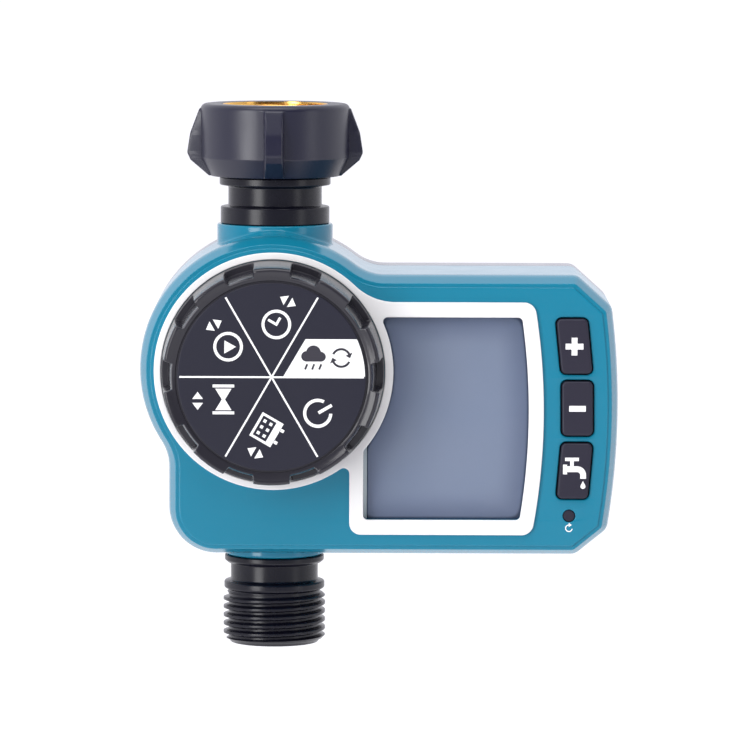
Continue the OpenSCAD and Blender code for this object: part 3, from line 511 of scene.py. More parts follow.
plastic("teal_plastic", (16, 117, 145), (0.15, 0.18), depth=0.0006, shade=0.97)
plastic("grey_plastic", (120, 120, 131), (0.2, 0.25), shade=0.97)
plastic("white_plastic", (229, 228, 229), (0.3, 0.38), shade=0.985)
plastic("dial_plastic", (40, 39, 46), (0.18, 0.24), grain=0.18, depth=0.004)
plastic("label_ink", (31, 31, 44), (0.42, 0.48), grain=0.15, depth=0.001, gloss=0.3)
plastic("black_plastic", (13, 13, 25), (0.24, 0.3), gloss=0.32, depth=0.0012)
plastic("nut_plastic", (20, 20, 42), (0.34, 0.4), gloss=0.58, grain=0.2, depth=0.004)
plastic("button_rubber", (38, 36, 50), (0.4, 0.5), gloss=0.3, grain=0.2, depth=0.004)
plastic("inner_white", (226, 226, 222), (0.4, 0.5))
plastic("circuit_board", (24, 92, 52), (0.3, 0.4))
plastic("component_black", (26, 26, 28))
plastic("component_tan", (172, 140, 92), (0.35, 0.5))
plastic("red_wire", (158, 30, 24), (0.4, 0.5))
plastic("cell_sleeve", (44, 78, 60), (0.22, 0.3), coat=0.4)
plastic("black_rubber", (30, 30, 32), (0.62, 0.8), grain=0.4, depth=0.01)
plastic("print_white", (236, 236, 237), shade=0.99)
plastic("print_dark", (46, 44, 54))
metal("brass", (250, 200, 112))
metal("steel", (206, 208, 212))
metal("copper_wire", (196, 110, 60), stretch=(40, 1, 1))
metal("gold_contact", (236, 190, 104))
display("display_glass")
clear_window("clear_lens")

for row in frame["record"]["subparts"]:
    shown = frame["nodes"][row["node"]].data.materials
    shown.clear()
    shown.append(MATERIALS[row["material_slot"]])

# ---- case ----

CASE = case_outline()
BEZEL = bezel_outline()
WINDOW = window_outline()
BUTTONS = {name: button_outline(name) for name in BUTTON_SPANS}
NECK_HOLE_R, OUTLET_HOLE_R = 12.55, 11.55
COLLAR_R, LOW_COLLAR_R, SHAFT_HOLE_R = 15.2, 12.9, 3.06


def foot_reach(turn):
    """How far the collar's foot runs out: a little all round, and further towards the front."""
    return 1.1 + 4.4 * max(-sin(turn), 0) ** 3


def collar_spot(part, t, turn):
    """Radius and Z on the inlet collar's skirt, its rounded lip or the wall of its hole."""
    rise, slope, sunk, lip = 1.1, 0.35, 0.05, 0.5
    if part == "skirt":
        reach = foot_reach(turn)
        foot_z = leg(CASE_R + FLARE, (COLLAR_R + reach) * cos(turn)) - sunk
        return COLLAR_R + reach * t * t, foot_z + rise * (1 - t) ** 2 + slope * (1 - t)
    if part == "lip":
        angle = t * pi / 2
        return COLLAR_R - lip * (1 - cos(angle)), COLLAR_TOP - lip * (1 - sin(angle))
    return NECK_HOLE_R, t


def housing_collar():
    """The collar round the inlet neck, with a hollow foot where it meets the round case."""
    foot_z = 28.0
    parts = [("skirt", 1 - k / 8) for k in range(9)] + [("lip", k / 4) for k in range(5)]
    shape = Shape()
    rings = [shape.turned_ring(lambda turn, part=part, t=t: collar_spot(part, t, turn), 96)
             for part, t in [*parts, ("hole", COLLAR_TOP), ("hole", foot_z)]]
    bottom = shape.ring([(x, y, foot_z) for x, y, _ in (shape.points[i] for i in rings[0])])
    shape.bands([bottom, *rings, bottom])
    return shape


def cut_at_seam(keep_front):
    """Cuts a mesh at the seam plane, keeps one side and closes it."""
    def cut(build):
        side = bmesh.ops.bisect_plane(
            build, geom=build.verts[:] + build.edges[:] + build.faces[:], plane_co=(0, SEAM_Y * MM, 0),
            plane_no=(0, 1, 0), clear_outer=keep_front, clear_inner=not keep_front)
        edges = [e for e in side["geom_cut"] if isinstance(e, bmesh.types.BMEdge)]
        bmesh.ops.holes_fill(build, edges=edges)
        bmesh.ops.recalc_face_normals(build, faces=build.faces)
    return cut


def hole_wall(shape, outline, edge, grow=0.0):
    """A hole's wall from the front plane to the plate's back, its front edge rounded."""
    turns = [k * pi / 8 for k in range(5)]
    steps = [(grow + edge * (1 - sin(t)), FRONT_Y + edge * (1 - cos(t))) for t in turns]
    return shape.loft(outline, [*steps, (grow, PLATE_BACK_Y)])


def front_housing():
    edge, step, shoulder_round = 0.25, 0.45, 13.0
    shape = Shape()
    rings = shape.loft(CASE, [*rounded(
        (-1.45, FRONT_Y), (-1.0, FRONT_Y, edge), (-0.93, FRONT_Y + step, 0.08), (0.02, FRONT_Y + step, edge),
        (FLARE, SHOULDER_Y, shoulder_round), (FLARE, SEAM_Y - 0.25, 0.1), (FLARE - 0.25, SEAM_Y)),
        (INNER, SEAM_Y), (INNER, PLATE_BACK_Y)])
    holes = [(WINDOW, 0.2), *[(button, 0.35, BUTTON_GAP) for button in BUTTONS.values()],
             (circle(*RESET_AT, RESET_R + 0.1), 0.2), (circle(0, 0, SHAFT_HOLE_R), 0.1)]
    shape.cap_ends(rings, *[hole_wall(shape, *hole) for hole in holes])
    make("housing_shell", shape, "teal_plastic", "case", "front_housing")
    make("housing_collar", housing_collar(), "teal_plastic", "case", change=cut_at_seam(True))
    low = Shape().closed_lathe(rounded(
        (OUTLET_HOLE_R, -44), (LOW_COLLAR_R, -44), (LOW_COLLAR_R, LOW_COLLAR_END, 0.8),
        (OUTLET_HOLE_R, LOW_COLLAR_END, 0.25), (OUTLET_HOLE_R, -45), steps=6))
    make("outlet_collar", low, "teal_plastic", "case")


SCREW_SPOTS = [(-17.5, -37.5), (-26.4, 8.8), (20, -41), (76.5, 17.9), (82, -38.5)]
BAY = box_outline(28.5, -43.4, 77.5, -20.6, 0.8)
RECESS = box_outline(27.3, -44.6, 78.7, -19.4, 1.4)
RECESS_Y, BAY_Y, COUNTERBORE_Y = BACK_Y - 1.6, 8.0, 17.0


def rear_cover():
    edge, bay_wall, boss_y = 2.6, 1.2, 5.2
    inside_y = BACK_Y - WALL
    shape = Shape()
    rings = shape.loft(CASE, [(INNER, inside_y), (INNER, SEAM_Y), *rounded(
        (FLARE - 0.25, SEAM_Y), (FLARE, SEAM_Y + 0.25, 0.1), (FLARE, BACK_Y, edge),
        (FLARE - edge - 0.3, BACK_Y), steps=8)])
    recess = shape.loft(RECESS, [(0.25, BACK_Y), (0.08, BACK_Y - 0.08), (0, BACK_Y - 0.25), (0, RECESS_Y)])
    shape.cap(recess[-1], shape.cup(BAY, [(0.15, RECESS_Y), (0, RECESS_Y - 0.15), (0, BAY_Y)]))
    pits, bosses = [recess[0]], [shape.cup(BAY, [(bay_wall, inside_y), (bay_wall, BAY_Y - bay_wall)])]
    for x, z in SCREW_SPOTS:
        pits.append(shape.cup(circle(x, z, 2.4), [
            (0.3, BACK_Y), (0.09, BACK_Y - 0.09), (0, BACK_Y - 0.3), (0, COUNTERBORE_Y)]))
        bosses.append(shape.cup(circle(x, z, 2.9, 32), [(0, inside_y), (0, boss_y)]))
    shape.cap(rings[-1], *pits)
    shape.cap(rings[0], *bosses)
    make("rear_shell", shape, "grey_plastic", "case", "rear_cover")
    make("rear_collar", housing_collar(), "grey_plastic", "case", change=cut_at_seam(False))


def case_screws():
    """Cross-head screws at the bottom of the counterbores."""
    half, arm, taper, depth = 0.32, 1.35, 0.55, 0.9
    top = COUNTERBORE_Y + 1.8
    cross = [turned(spot, pi / 2 * quarter) for quarter in range(4)
             for spot in ((half, -half), (arm, -half), (arm, half))]
    shape = Shape()
    for x, z in SCREW_SPOTS:
        head = Shape()
        rings = head.loft(circle(0, 0, 2.25, 40), [
            (0, COUNTERBORE_Y - 4), (0, top - 0.7), (-0.12, top - 0.35), (-0.45, top - 0.1), (-0.8, top)])
        head.cap(rings[0])
        lip = head.ring([(a, top, b) for a, b in cross])
        floor = head.ring([(a * taper, top - depth, b * taper) for a, b in cross])
        head.band(lip, floor)
        head.cap(floor)
        head.cap(rings[-1], lip)
        shape.add(head.moved(lambda p, x=x, z=z: (p[0] + x, p[1], p[2] + z)))
    make("case_screw_heads", shape, "steel", "case", "case_screws")


def bezel():
    shape = Shape()
    shape.cap_ends(*[
        shape.loft(outline, rounded((0, FRONT_Y), (0, BEZEL_Y, 0.22), (face, BEZEL_Y)))
        for outline, face in ((BEZEL, -0.7), (circle(0, 0, RING_IN_R, 144), 0.5), (WINDOW, 0.5))])
    make("white_trim", shape, "white_plastic", "case", "bezel_trim")


def screen():
    lens = Shape().solid(WINDOW, [(0.6, FRONT_Y + 1.6), (0.6, FRONT_Y + 0.15), (0.45, FRONT_Y), (0, FRONT_Y)])
    make("screen_window", lens, "clear_lens", "case", "screen_lens")
    low, high = size_of("lcd_glass")
    panel = box_outline(low[0], low[2], high[0], high[2], 0.4)
    glass = Shape().solid(panel, [(-0.2, low[1]), (0, low[1] + 0.2), (0, high[1])])
    make("display_panel", glass, "display_glass", "case", "lcd_glass")


front_housing()
rear_cover()
case_screws()
bezel()
screen()

# ---- printed marks ----


class Print:
    """Flat marks a hair proud of a face: outlines in X and Z that are placed, turned and scaled."""

    def __init__(self, name, y, finish, body):
        self.name, self.y, self.finish, self.body = name, y, finish, body
        self.shape = Shape()
        self.count = 0
        self.put()

    def put(self, at=(0, 0), turn=0, scale=1):
        """Sets where the next marks go, how far they are turned in degrees, and their scale."""
        self.at, self.turn, self.scale = at, radians(turn), scale

    def mark(self, *loops):
        """One mark, an outline and any holes. Neighbours differ in height, so that none lie in one plane."""
        self.count += 1
        loops = [[turned((x * self.scale, z * self.scale), self.turn) for x, z in loop] for loop in loops]
        sides = [[self.shape.ring([(self.at[0] + x, y, self.at[1] + z) for x, z in loop]) for loop in loops]
                 for y in (self.y - 0.05 - 0.002 * (self.count % 4), self.y + 0.02)]
        tubes = list(zip(*sides))
        self.shape.cap_ends(*tubes)
        for tube in tubes:
            self.shape.band(*tube)

    def done(self):
        make(self.name, self.shape, self.finish, self.body)


def bar(x0, z0, x1, z1, width):
    """A straight bar with square ends."""
    along = Vector((x1 - x0, z1 - z0)).normalized() * (width / 2)
    dx, dz = -along.y, along.x
    return [(x0 - dx, z0 - dz), (x1 - dx, z1 - dz), (x1 + dx, z1 + dz), (x0 + dx, z0 + dz)]


def disc(radius):
    return arc(radius, 0, 360, 28)[:-1]


def ring_piece(radius, width, first, last, steps):
    """Part of a ring, from one angle to another."""
    half = width / 2
    return arc(radius + half, first, last, steps) + arc(radius - half, last, first, steps)


def plus_mark(ink):
    arm, thick = 2.3, 0.75
    quarter = [(-thick, -arm), (thick, -arm), (thick, -thick)]
    ink.mark([turned(spot, pi / 2 * k) for k in range(4) for spot in quarter])


def minus_mark(ink):
    ink.mark(bar(-2.15, 0, 2.15, 0, 1.5))


def tap_mark(ink):
    """A garden tap with a drop under its spout."""
    ink.put((ink.at[0] - 0.3, ink.at[1] - 0.7), scale=1.05)
    ink.mark(bar(-2.1, 3.6, 1.3, 3.6, 0.85))
    ink.mark(bar(-0.4, 3.6, -0.4, 1.6, 0.9))
    outside, inside = arc(2.2, 0, 90, 8, (0.9, -0.3)), arc(0.75, 90, 0, 6, (0.9, -0.3))
    ink.mark([(-2.6, -0.1), (-1.6, -0.1), (-1.6, 0.45), *inside, (1.65, -1.2), (3.1, -1.2), *outside,
              (-1.6, 1.9), (-1.6, 2.3), (-2.6, 2.3)])
    ink.mark([(2.35, -1.75), *arc(0.62, 150, 390, 14, (2.35, -3.1))])


def button_body(outline, middle, front, edges, face, stem):
    """A cap with a flange behind the case's plate, and the stem that reaches its switch."""
    shape = Shape().solid(outline, rounded(
        (0.9, FLANGE_Y + 0.8), (0.9, FLANGE_Y, edges[0]), (0, FLANGE_Y), (0, front, edges[1]),
        (-face, front)))
    return shape.add(Shape().solid(circle(*middle, 1.0, 24), stem))


def buttons():
    marks = {"plus_button": plus_mark, "minus_button": minus_mark, "water_button": tap_mark}
    for name, outline in BUTTONS.items():
        (_, front, _), (_, back, _) = size_of(name)
        middle, body = button_middle(name), name.split("_")[0]
        stem = [(0, FLANGE_Y + 0.5), (0, back - 0.1), (-0.1, back)]
        cap = button_body(outline, middle, front, (0.15, 0.5), 0.9, stem)
        make(name + "_cap", cap, "button_rubber", body, name)
        ink = Print(name + "_mark", front, "print_white", body)
        ink.put(middle)
        marks[name](ink)
        ink.done()
    ink = Print("reset_mark", FRONT_Y, "print_white", "case")
    ink.put((RESET_AT[0], RESET_AT[1] - 3.2))
    ink.mark(ring_piece(0.85, 0.26, 70, 350, 24))
    ink.mark([(-0.05, 0.3), (-0.05, 1.4), (0.75, 0.85)])
    ink.done()
    stem = [(0, FLANGE_Y + 0.4), (0, size_of("reset_button")[1][1])]
    cap = button_body(circle(*RESET_AT, RESET_R, 40), RESET_AT, FRONT_Y + 0.3, (0.1, 0.25), 0.6, stem)
    make("reset_button_cap", cap, "button_rubber", "reset", "reset_button")


buttons()

# ---- dial ----

(_, DIAL_FRONT, _), (DIAL_R, DIAL_BACK, _) = size_of("dial_knob")
NOTCHES, NOTCH_ANGLE, NOTCH_BACK = 10, 15.5, BEZEL_Y - 1.7
LABEL_R, LABEL_Y = label_box[1].x / MM, label_box[0].y / MM
LABEL_SEAT_Y = LABEL_Y + 0.7


def dial_angles():
    """Angles round the dial, each with the notch's share of the section there, from 0 to 1."""
    soft_half, pitch = 0.75, 360 / NOTCHES
    half, flat, rest = NOTCH_ANGLE / 2, NOTCH_ANGLE - 2 * soft_half, pitch - NOTCH_ANGLE - 2 * soft_half
    angles = []
    for i in range(NOTCHES):
        start, end = i * pitch - half, i * pitch + half
        angles += [(start - soft_half + 2 * soft_half * k / 8, k / 8) for k in range(9)]
        angles += [(start + soft_half + flat * k / 8, 1) for k in range(1, 8)]
        angles += [(end - soft_half + 2 * soft_half * k / 8, 1 - k / 8) for k in range(9)]
        angles += [(end + soft_half + rest * k / 10, 0) for k in range(1, 10)]
    return [(angle, smooth(share)) for angle, share in angles]


def dial():
    """The knob: a turned section, with another section in the notches and soft steps between."""
    top_r, floor_r, inside_r, hub_r, shaft_r = 27.9, 26.2, 24.2, 6, 3
    tooth = [
        (DIAL_R, DIAL_BACK), (DIAL_R, -29.3), (DIAL_R - 0.02, -29.8), (DIAL_R - 0.12, -30.4), (28.7, -32),
        (28.45, -35.5), (28.2, -39.5), (top_r + 0.05, -43.9), (top_r - 0.05, -44.45), (top_r - 0.3, -44.77),
        (top_r - 0.65, DIAL_FRONT), (top_r - 1.0, -44.86), (26.6, -44.66), (25.9, -44.36), (25.3, -44.2),
        (24.85, -44.12)]
    notch = [
        (DIAL_R, DIAL_BACK), (DIAL_R, -29.3), (DIAL_R - 0.12, -30.2), (DIAL_R - 0.4, NOTCH_BACK),
        (28.0, NOTCH_BACK - 0.04), (27.4, NOTCH_BACK - 0.04), (27.05, NOTCH_BACK - 0.1),
        (26.85, NOTCH_BACK - 0.45), (26.8, -31.6), (floor_r - 0.1, -42.2), (floor_r - 0.22, -43.1),
        (floor_r - 0.45, -43.85), (25.55, -44.22), (25.38, -44.26), (25.2, -44.19), (24.85, -44.12)]
    inner = [(24.65, -44.0), (24.6, -43.8), (24.6, LABEL_SEAT_Y)]
    hub = [(inside_r, DIAL_BACK), (inside_r, LABEL_SEAT_Y + 2), (hub_r, LABEL_SEAT_Y + 2), (hub_r, DIAL_BACK),
           (shaft_r, DIAL_BACK), (shaft_r, LABEL_SEAT_Y + 2.02)]
    angles = dial_angles()
    shape = Shape()

    def ring(a, b):
        """A ring through one section's point a between the notches and b in them."""
        points = []
        for angle, share in angles:
            x, z = polar(between(a[0], b[0], share), angle)
            points.append((x, between(a[1], b[1], share), z))
        return shape.ring(points)

    rings = shape.bands([ring(a, b) for a, b in [*zip(tooth, notch), *zip(inner, inner)]])
    shape.cap(rings[-1])
    shape.cap(shape.bands([rings[0], *[ring(a, a) for a in hub]])[-1])
    make("dial_grip", shape, "dial_plastic", "dial", "dial_knob", sharp=45)
    face = Shape().solid(circle(0, 0, LABEL_R, 144), rounded(
        (0, LABEL_SEAT_Y), (0, LABEL_Y, 0.3), (-0.8, LABEL_Y)))
    make("dial_face", face, "label_ink", "dial", "dial_label")


def dial_marks():
    """Six sectors between white lines, and a white field at the right."""
    white = Print("dial_marks", LABEL_Y, "print_white", "dial")
    line, slant = 23.6, radians(60)
    for turn in (0, 60, 120):
        white.put(turn=turn)
        white.mark(bar(-line, 0, line, 0, 0.45))
    white.put()
    field_top, field_r, gap = 9.8, 23.9, 2.6
    foot = gap / sin(slant)
    end_a = degrees(asin(field_top / field_r))
    white.mark([(foot, 0.2), *arc(field_r, 0.5, end_a, 12), (foot + field_top / tan(slant), field_top)])
    white.done()


def clock_mark(ink):
    ink.mark(disc(3.3), disc(2.65))
    ink.mark([(-0.28, -0.28), (1.75, -0.28), (1.75, 0.28), (0.28, 0.28), (0.28, 2.1), (-0.28, 2.1)])


def start_mark(ink):
    ink.mark(disc(3.3), disc(2.65))
    ink.mark([(-0.9, -1.5), (1.6, 0), (-0.9, 1.5)])


def hourglass_mark(ink):
    for way in (-1, 1):
        ink.mark(bar(-2.4, 3.0 * way, 2.4, 3.0 * way, 0.65))
    ink.mark([(-1.8, 2.4), (-0.35, 0), (-1.8, -2.4), (1.8, -2.4), (0.35, 0), (1.8, 2.4)])


def calendar_mark(ink):
    page = [(-2.45, -2.25), (2.45, -2.25), (2.45, 1.1), (-2.45, 1.1)]
    ink.mark([(-3, -2.8), (3, -2.8), (3, 2.6), (-3, 2.6)], page)
    for x in (-1.5, 1.5):
        ink.mark(bar(x, 2.7, x, 3.5, 0.7))
    for x in (-1.5, 0, 1.5):
        for z in (-1.35, 0.15):
            ink.mark(bar(x - 0.35, z, x + 0.35, z, 0.7))


def power_mark(ink):
    ink.mark(ring_piece(2.9, 0.7, 122, 418, 40))
    ink.mark(bar(0, 0.2, 0, 3.6, 0.7))


def set_mark(ink):
    """Two small arrowheads, up and down."""
    for way in (-1, 1):
        ink.mark([(-1.25, 0.45 * way), (1.25, 0.45 * way), (0, 2.1 * way)])


def rain_mark(ink):
    """A cloud with three drops."""
    ink.mark(arc(1.35, 90, 270, 12, (-1.7, 0)) + arc(1.25, -90, 80, 12, (2.0, -0.1))
             + arc(1.9, 10, 160, 12, (0.1, 0.9)))
    for x in (-1.7, 0.1, 1.9):
        ink.mark(bar(x + 0.2, -2.0, x - 0.35, -3.4, 0.5))


def repeat_mark(ink):
    """Two arrows that follow each other round a circle."""
    for turn in (0, 180):
        ink.mark(ring_piece(2.5, 0.65, turn + 25, turn + 155, 20))
        ink.mark([polar(radius, turn + angle) for radius, angle in ((2.5, -2), (3.6, 27), (1.4, 27))])


def dial_pictures():
    """A picture in each dark sector, its foot to the dial's middle, and two more on the white field."""
    white = Print("dial_pictures", LABEL_Y, "print_white", "dial")
    marks = {90: clock_mark, 150: start_mark, 210: hourglass_mark, 270: calendar_mark}
    for middle, draw in marks.items():
        white.put(polar(13.6, middle - 5), middle - 30, 1.15)
        draw(white)
        white.put(polar(19.9, middle - 12), middle - 30, 1.1)
        set_mark(white)
    white.put(polar(15.0, 322), 300, 1.15)
    power_mark(white)
    white.done()
    dark = Print("dial_field_pictures", LABEL_Y - 0.05, "print_dark", "dial")
    dark.put((10.6, 5.4))
    rain_mark(dark)
    dark.put((17.8, 5.0), scale=0.9)
    repeat_mark(dark)
    dark.done()


dial()
dial_marks()
dial_pictures()

# ---- pipes and threads ----

PITCH = 2.209


def stretch(value, low, high):
    return min(max((value - low) / (high - low), 0), 1)


def thread_height(z, turn, start):
    """How much of its full height a right-hand thread has at this place, from 0 to 1."""
    phase = ((z - start) / PITCH - turn / tau) % 1.0
    return smooth(1 - stretch(abs(phase - 0.5) * 2, 0.26, 0.76))


def outlet():
    crest, root, bore, neck_r, bead_r, flange_r, thread_start = 13.45, 12.1, 8.5, 11.5, 13.25, 13.1, -62.66
    low_z = size_of("outlet_fitting")[0][2]
    first_z, last_z, in_z = -60.5, low_z + 0.9, -45.4
    rows = int((first_z - last_z) / PITCH * 22)
    above = rounded(
        (OUTLET_HOLE_R - 0.05, in_z), (OUTLET_HOLE_R - 0.05, LOW_COLLAR_END - 0.05),
        (flange_r, LOW_COLLAR_END - 0.05, 0.3), (flange_r, -52.3, 0.5), (12.3, -53.0, 0.3),
        (neck_r, -53.1, 0.3), (neck_r, -57.5, 0.5), (bead_r, -57.9, 0.55), (bead_r, -59.7, 0.6),
        (root, -60.2, 0.3), (root, first_z), steps=5)
    thread = [(root, between(first_z, last_z, i / rows)) for i in range(1, rows)]
    below = rounded((root, last_z), (11.5, low_z, 0.35), (bore, low_z, 0.4), (bore, in_z), steps=5)

    def radius_at(radius, z, turn):
        if not last_z < z <= first_z:
            return radius
        cone = 11.7 + (z - low_z) * 0.95
        rise = (crest - root) * thread_height(z, turn, thread_start) * stretch(z, first_z, first_z - 1.3)
        return max(radius, min(radius + rise, cone))

    shape = Shape().closed_lathe([*above, *thread, *below], 144, radius_at)
    make("hose_outlet", shape, "black_plastic", "case", "outlet_fitting", sharp=50)


def inlet_neck():
    foot, seat, top = 29.0, COLLAR_TOP + 0.05, size_of("inlet_neck")[1][2]
    shape = Shape().closed_lathe(rounded(
        (7.0, foot), (12.5, foot), (12.5, seat), (14.3, seat, 0.35), (14.3, 41.2, 0.45), (12.3, 41.6, 0.35),
        (12.3, 46.5, 0.4), (14.6, 46.9, 0.4), (14.6, top, 0.35), (8.55, top), (8.55, 40.0), (7.0, 40.0),
        steps=5), 128)
    make("neck", shape, "black_plastic", "case", "inlet_neck", sharp=40)


def radius_on(path, z, beyond):
    """Radius at a height on a path (radius, Z) that runs down, or beyond(z) past its ends."""
    for (r0, z0), (r1, z1) in zip(path, path[1:]):
        if z1 <= z <= z0 and z0 - z1 > 1e-6:
            return between(r0, r1, (z0 - z) / (z0 - z1))
    return beyond(z)


def nut():
    """The nut's outside is a stack of rings, each a circle with four wings of that height's reach."""
    (*_, bottom), (*_, top) = size_of("coupling_nut")
    wing_half, soft = 2.1, 0.6
    body = [spot for spot in rounded(
        (13.9, top), (19.6, top, 1.5), (19.6, 54.1, 0.9), (16.9, bottom, 0.3), (8.6, bottom), steps=6)
        if spot[0] > 16]
    wing = rounded((18.2, 67.4), (19.9, 66.9, 0.8), (22.3, 60.5, 6), (23.1, 55.3, 1.6), (22.2, 53.4, 0.8),
                   (17.4, bottom + 0.1), steps=8)
    heights = sorted({round(z, 4) for _, z in [*body, *wing]}
                     | {bottom + (top - bottom) * i / 24 for i in range(1, 24)}, reverse=True)

    def ring_at(z):
        round_r = radius_on(body, z, lambda z: body[0][0] if z > body[0][1] else body[-1][0])
        tall = max(radius_on(wing, z, lambda z: 0) - round_r, 0)
        wide = wing_half + soft
        quarter = []
        for k in range(-8, 9):
            side = wide * k / 8
            lift = leg(1, 1 - stretch(wide - abs(side), 0, soft * 1.25))
            flat = leg(round_r, side)
            quarter.append((flat + (tall + round_r - flat) * lift if tall > 0 else flat, side))
        ends = asin(wide / round_r)
        for k in range(1, 20):
            quarter.append(turned((round_r, 0), ends + (pi / 2 - 2 * ends) * k / 20))
        return [(*turned(spot, pi / 2 * k), z) for k in range(4) for spot in quarter]

    shape = Shape()
    outer = shape.bands([shape.ring(ring_at(z)) for z in heights])
    spokes = [Vector(shape.points[i][:2]).normalized() for i in outer[0]]
    inner = [shape.ring([(radius * s.x, radius * s.y, z) for s in spokes]) for radius, z in (
        (14.6, top), (14.15, top - 0.12), (14.0, top - 0.4), (14.0, 66.4), (15.2, 66.4), (15.2, 56.0),
        (12.0, 56.0), (12.0, 53.2), (8.6, 53.2), (8.6, bottom + 0.3), (8.9, bottom))]
    shape.bands([outer[0], *inner, outer[-1]])
    make("tap_nut_shell", shape, "nut_plastic", "tap_nut", "coupling_nut", sharp=42)


def brass_insert():
    """The brass bush in the nut, with a right-hand thread inside."""
    crest, root, thread_start, last_z = 12.3, 13.55, 60.3, 57.5
    (*_, bottom), (*_, top) = size_of("thread_insert")
    first_z = top - 0.5
    rows = int((first_z - last_z) / PITCH * 20)
    thread = [(root, between(first_z, last_z, i / rows)) for i in range(rows + 1)]

    def radius_at(radius, z, turn):
        if radius != root:
            return radius
        fade = stretch(z, last_z, last_z + 1.3) * stretch(z, top - 0.3, top - 1.6)
        return root - (root - crest) * thread_height(z, turn, thread_start) * fade

    shape = Shape().closed_lathe([
        (13.9, 66.4), (13.9, top - 0.15), (13.75, top), (13.62, top), *thread, (root - 0.001, bottom),
        (15.1, bottom), (15.1, 66.3)], 144, radius_at)
    make("brass_bush", shape, "brass", "tap_nut", "thread_insert", sharp=50)


def strainer():
    """A steel rim with a shallow dome of woven wire over the water way."""
    (*_, low), (*_, high) = size_of("filter_screen")
    rim_top, rim_in_r, dome_r, wire_pitch, wire_r = low + 0.5, 6.4, 6.6, 0.72, 0.11
    rise = high - rim_top
    ball = (dome_r ** 2 + rise ** 2) / (2 * rise)
    shape = Shape().closed_lathe(rounded(
        (rim_in_r, low), (11.4, low, 0.15), (11.4, rim_top, 0.15), (8.2, rim_top, 0.2),
        (7.4, rim_top + 0.25, 0.3), (rim_in_r, rim_top + 0.1, 0.1), (rim_in_r, rim_top - 0.2), steps=3), 96)
    wires = int(dome_r / wire_pitch)
    for along_x in (0, 1):
        for k in range(-wires, wires + 1):
            offset = k * wire_pitch
            reach = leg(dome_r, offset)
            stops = max(int(2 * reach / (wire_pitch / 2)), 2)
            rings = []
            for i in range(stops + 1):
                s = -reach + 2 * reach * i / stops
                weave = wire_r * 0.9 * cos(pi * (s / wire_pitch + k + along_x))
                z = rim_top - 0.1 + sqrt(ball ** 2 - s * s - offset ** 2) - (ball - rise) + weave
                section = [turned((wire_r, 0), tau * c / 6) for c in range(6)]
                rings.append(shape.ring([
                    (s, offset + across, z + up) if along_x else (offset + across, s, z + up)
                    for across, up in section]))
            shape.cap_ends(shape.bands(rings))
    make("strainer", shape, "steel", "case", "filter_screen", sharp=60)


outlet()
inlet_neck()
nut()
brass_insert()
strainer()

# ---- battery drawer ----


def drawer():
    """A face with finger grooves and a pull, and a tray of thin walls behind it."""
    low, high = size_of("battery_drawer")
    face_back, face_y, pull_y = BACK_Y - 1.0, BACK_Y + 0.2, high[1]
    middle_z = (low[2] + high[2]) / 2
    groove_pitch, groove_length, groove_half = 3.4, 8, 0.4
    shape = Shape()
    face = shape.loft(box_outline(27.5, -44.4, 78.5, -19.6, 1.2), rounded(
        (0, face_back), (0, face_y, 0.35), (-0.8, face_y)))
    grooves = []
    for x in (30, 68):
        for z in (middle_z + groove_pitch * k for k in range(-2, 3)):
            groove = box_outline(x, z - groove_half, x + groove_length, z + groove_half, 0.35, 5)
            grooves.append(shape.cup(groove, [(0.12, face_y), (0, face_y - 0.12), (-0.1, face_y - 0.45)]))
    pull = shape.cup(box_outline(44, middle_z - 1, 62, middle_z + 1, 0.9), rounded(
        (0.5, face_y), (0, face_y + 0.02, 0.3), (0, pull_y, 0.45), (-0.8, pull_y)))
    shape.cap(face[-1], pull, *grooves)
    shape.cap(face[0])
    x_low, x_high, z_low, z_high = 28.7, 77.3, -43.0, -21.0
    y_low, y_high, floor_y, wall, rib = 8.6, face_back + 0.05, 19.8, 1.0, 0.15
    for x0, x1, y0, y1, z0, z1 in (
            (x_low, x_low + wall, y_low, y_high, z_low, z_high),
            (x_high - wall, x_high, y_low, y_high, z_low, z_high),
            (x_low + 0.4, x_high - 0.4, floor_y, floor_y + wall, z_low, z_high),
            (x_low + 1.4, x_high - 0.4, y_low, y_high, middle_z - rib, middle_z + rib)):
        plan = box_outline(x0, z0, x1, z1, min(0.3, (z1 - z0) * 0.4, (x1 - x0) * 0.3), 3)
        shape.add(Shape().solid(plan, [(-0.05, y0), (0, y0 + 0.1), (0, y1)]))
    make("drawer_body", shape, "grey_plastic", "drawer", "battery_drawer")


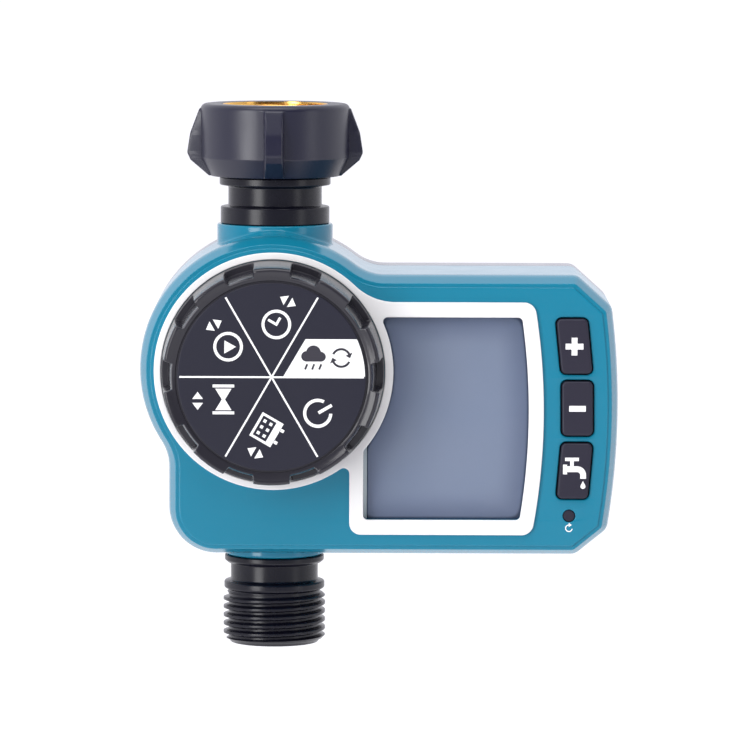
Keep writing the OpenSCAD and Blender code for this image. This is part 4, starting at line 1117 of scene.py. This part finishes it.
def cells():
    """Two AAA cells side by side, head to tail: a printed sleeve, a steel cup and a steel button."""
    low, high = size_of("battery_cells")
    radius, y, length = (high[1] - low[1]) / 2, (low[1] + high[1]) / 2, high[0] - low[0]
    middle_z, apart = (low[2] + high[2]) / 2, (high[2] - low[2]) / 2 - radius
    split, shoulder, cup_r, button_r = length * 0.7, length - 1.1, radius - 0.9, 1.9
    sleeves, bands, ends = Shape(), Shape(), Shape()
    parts = (
        (sleeves, [(cup_r, 0.35), (radius, 0.3, 0.35), (radius, split), (radius - 0.3, split)]),
        (bands, [(radius - 0.3, split), (radius, split), (radius, length - 1.2, 0.6),
                 (radius - 1.5, length - 1.3)]),
        (ends, [(0.05, 0), (cup_r, 0, 0.4), (cup_r, 0.6), (0.05, 0.6)]),
        (ends, [(radius - 1.2, length - 1.5), (radius - 1.2, shoulder, 0.2), (button_r, shoulder, 0.2),
                (button_r, length, 0.4), (0.05, length)]))
    for way in (-1, 1):
        x, z = low[0] if way > 0 else high[0], middle_z + way * apart
        for group, profile in parts:
            part = Shape()
            part.cap_ends(part.lathe(rounded(*profile), 48))
            group.add(part.moved(lambda p: (x + way * p[2], y + p[0], z + way * p[1])))
    make("cell_sleeves", sleeves, "cell_sleeve", "drawer", "battery_cells")
    make("cell_bands", bands, "component_tan", "drawer")
    make("cell_ends", ends, "steel", "drawer")


drawer()
cells()

# ---- stage, in metres ----

CENTRE = Vector((26.45 * MM, 0, DIAL_Z - 3.4 * MM))


def area_light(name, azimuth, elevation, distance, size, power, mirrored=True):
    """A softbox that faces the object from this direction; azimuth 0 is in front."""
    a, e = radians(azimuth), radians(elevation)
    way = Vector((sin(a) * cos(e), -cos(a) * cos(e), sin(e)))
    data = bpy.data.lights.new(name, "AREA")
    data.shape, data.size, data.size_y, data.energy = "RECTANGLE", size[0], size[1], power
    lamp = new_object(name, data)
    lamp.location = CENTRE + way * distance
    lamp.rotation_euler = way.to_track_quat("Z", "Y").to_euler()
    lamp.visible_glossy = mirrored


def floor():
    """Pale paper, far enough down for the object to be seen from below too."""
    half, drop = 15, -1.2
    mesh = bpy.data.meshes.new("floor")
    corners = [(-half, -half, drop), (half, -half, drop), (half, half, drop), (-half, half, drop)]
    mesh.from_pydata(corners, [], [(0, 1, 2, 3)])
    nodes = material("floor_paper")
    paper = nodes.mix(nodes.noise(60), linear(250, 250, 250), linear(246, 246, 247))
    nodes.set(Base_Color=paper, Roughness=0.9, Emission_Color=paper, Emission_Strength=0.4)
    mesh.materials.append(MATERIALS["floor_paper"])
    new_object("floor", mesh)


def studio():
    """A room that is bright behind the object and dim in front of it, and four softboxes."""
    world = bpy.data.worlds.new("studio")
    bpy.context.scene.world = world
    nodes = Nodes(world, "Background")
    split = nodes.add("SeparateXYZ", {"Vector": nodes.places["Generated"]})
    room = nodes.spread(split.outputs[1], 0.07, 1.15, -0.7, 0.2, interpolation_type="SMOOTHSTEP")
    seen = nodes.add("LightPath").outputs["Is Camera Ray"]
    strength = nodes.add("Mix", {"Factor": seen, "A": room, "B": 1.1})
    nodes.set(Strength=strength.outputs[0], Color=(0.94, 0.935, 1.0, 1))
    area_light("left_softbox", -42, 8, 1.1, (0.42, 0.9), 8)
    area_light("right_softbox", 58, 10, 1.2, (0.3, 0.9), 1.4)
    area_light("top_softbox", -8, 66, 1.0, (0.9, 0.6), 6)
    area_light("front_fill", -14, 24, 1.6, (1.3, 1.0), 8, mirrored=False)


def camera():
    pitch, distance, roll = radians(5.2), 1.457, radians(0.2)
    data = bpy.data.cameras.new("camera")
    data.lens, data.sensor_width = 265, 36
    data.clip_start, data.clip_end = 0.05, 50
    eye = new_object("camera", data)
    back = Vector((0, -cos(pitch), sin(pitch)))
    turn = back.to_track_quat("Z", "Y").to_matrix().to_4x4() @ Matrix.Rotation(roll, 4, "Z")
    eye.matrix_world = Matrix.Translation(CENTRE + back * distance) @ turn
    bpy.context.scene.camera = eye


floor()
studio()
camera()
bpy.context.scene.view_settings.view_transform = "Standard"
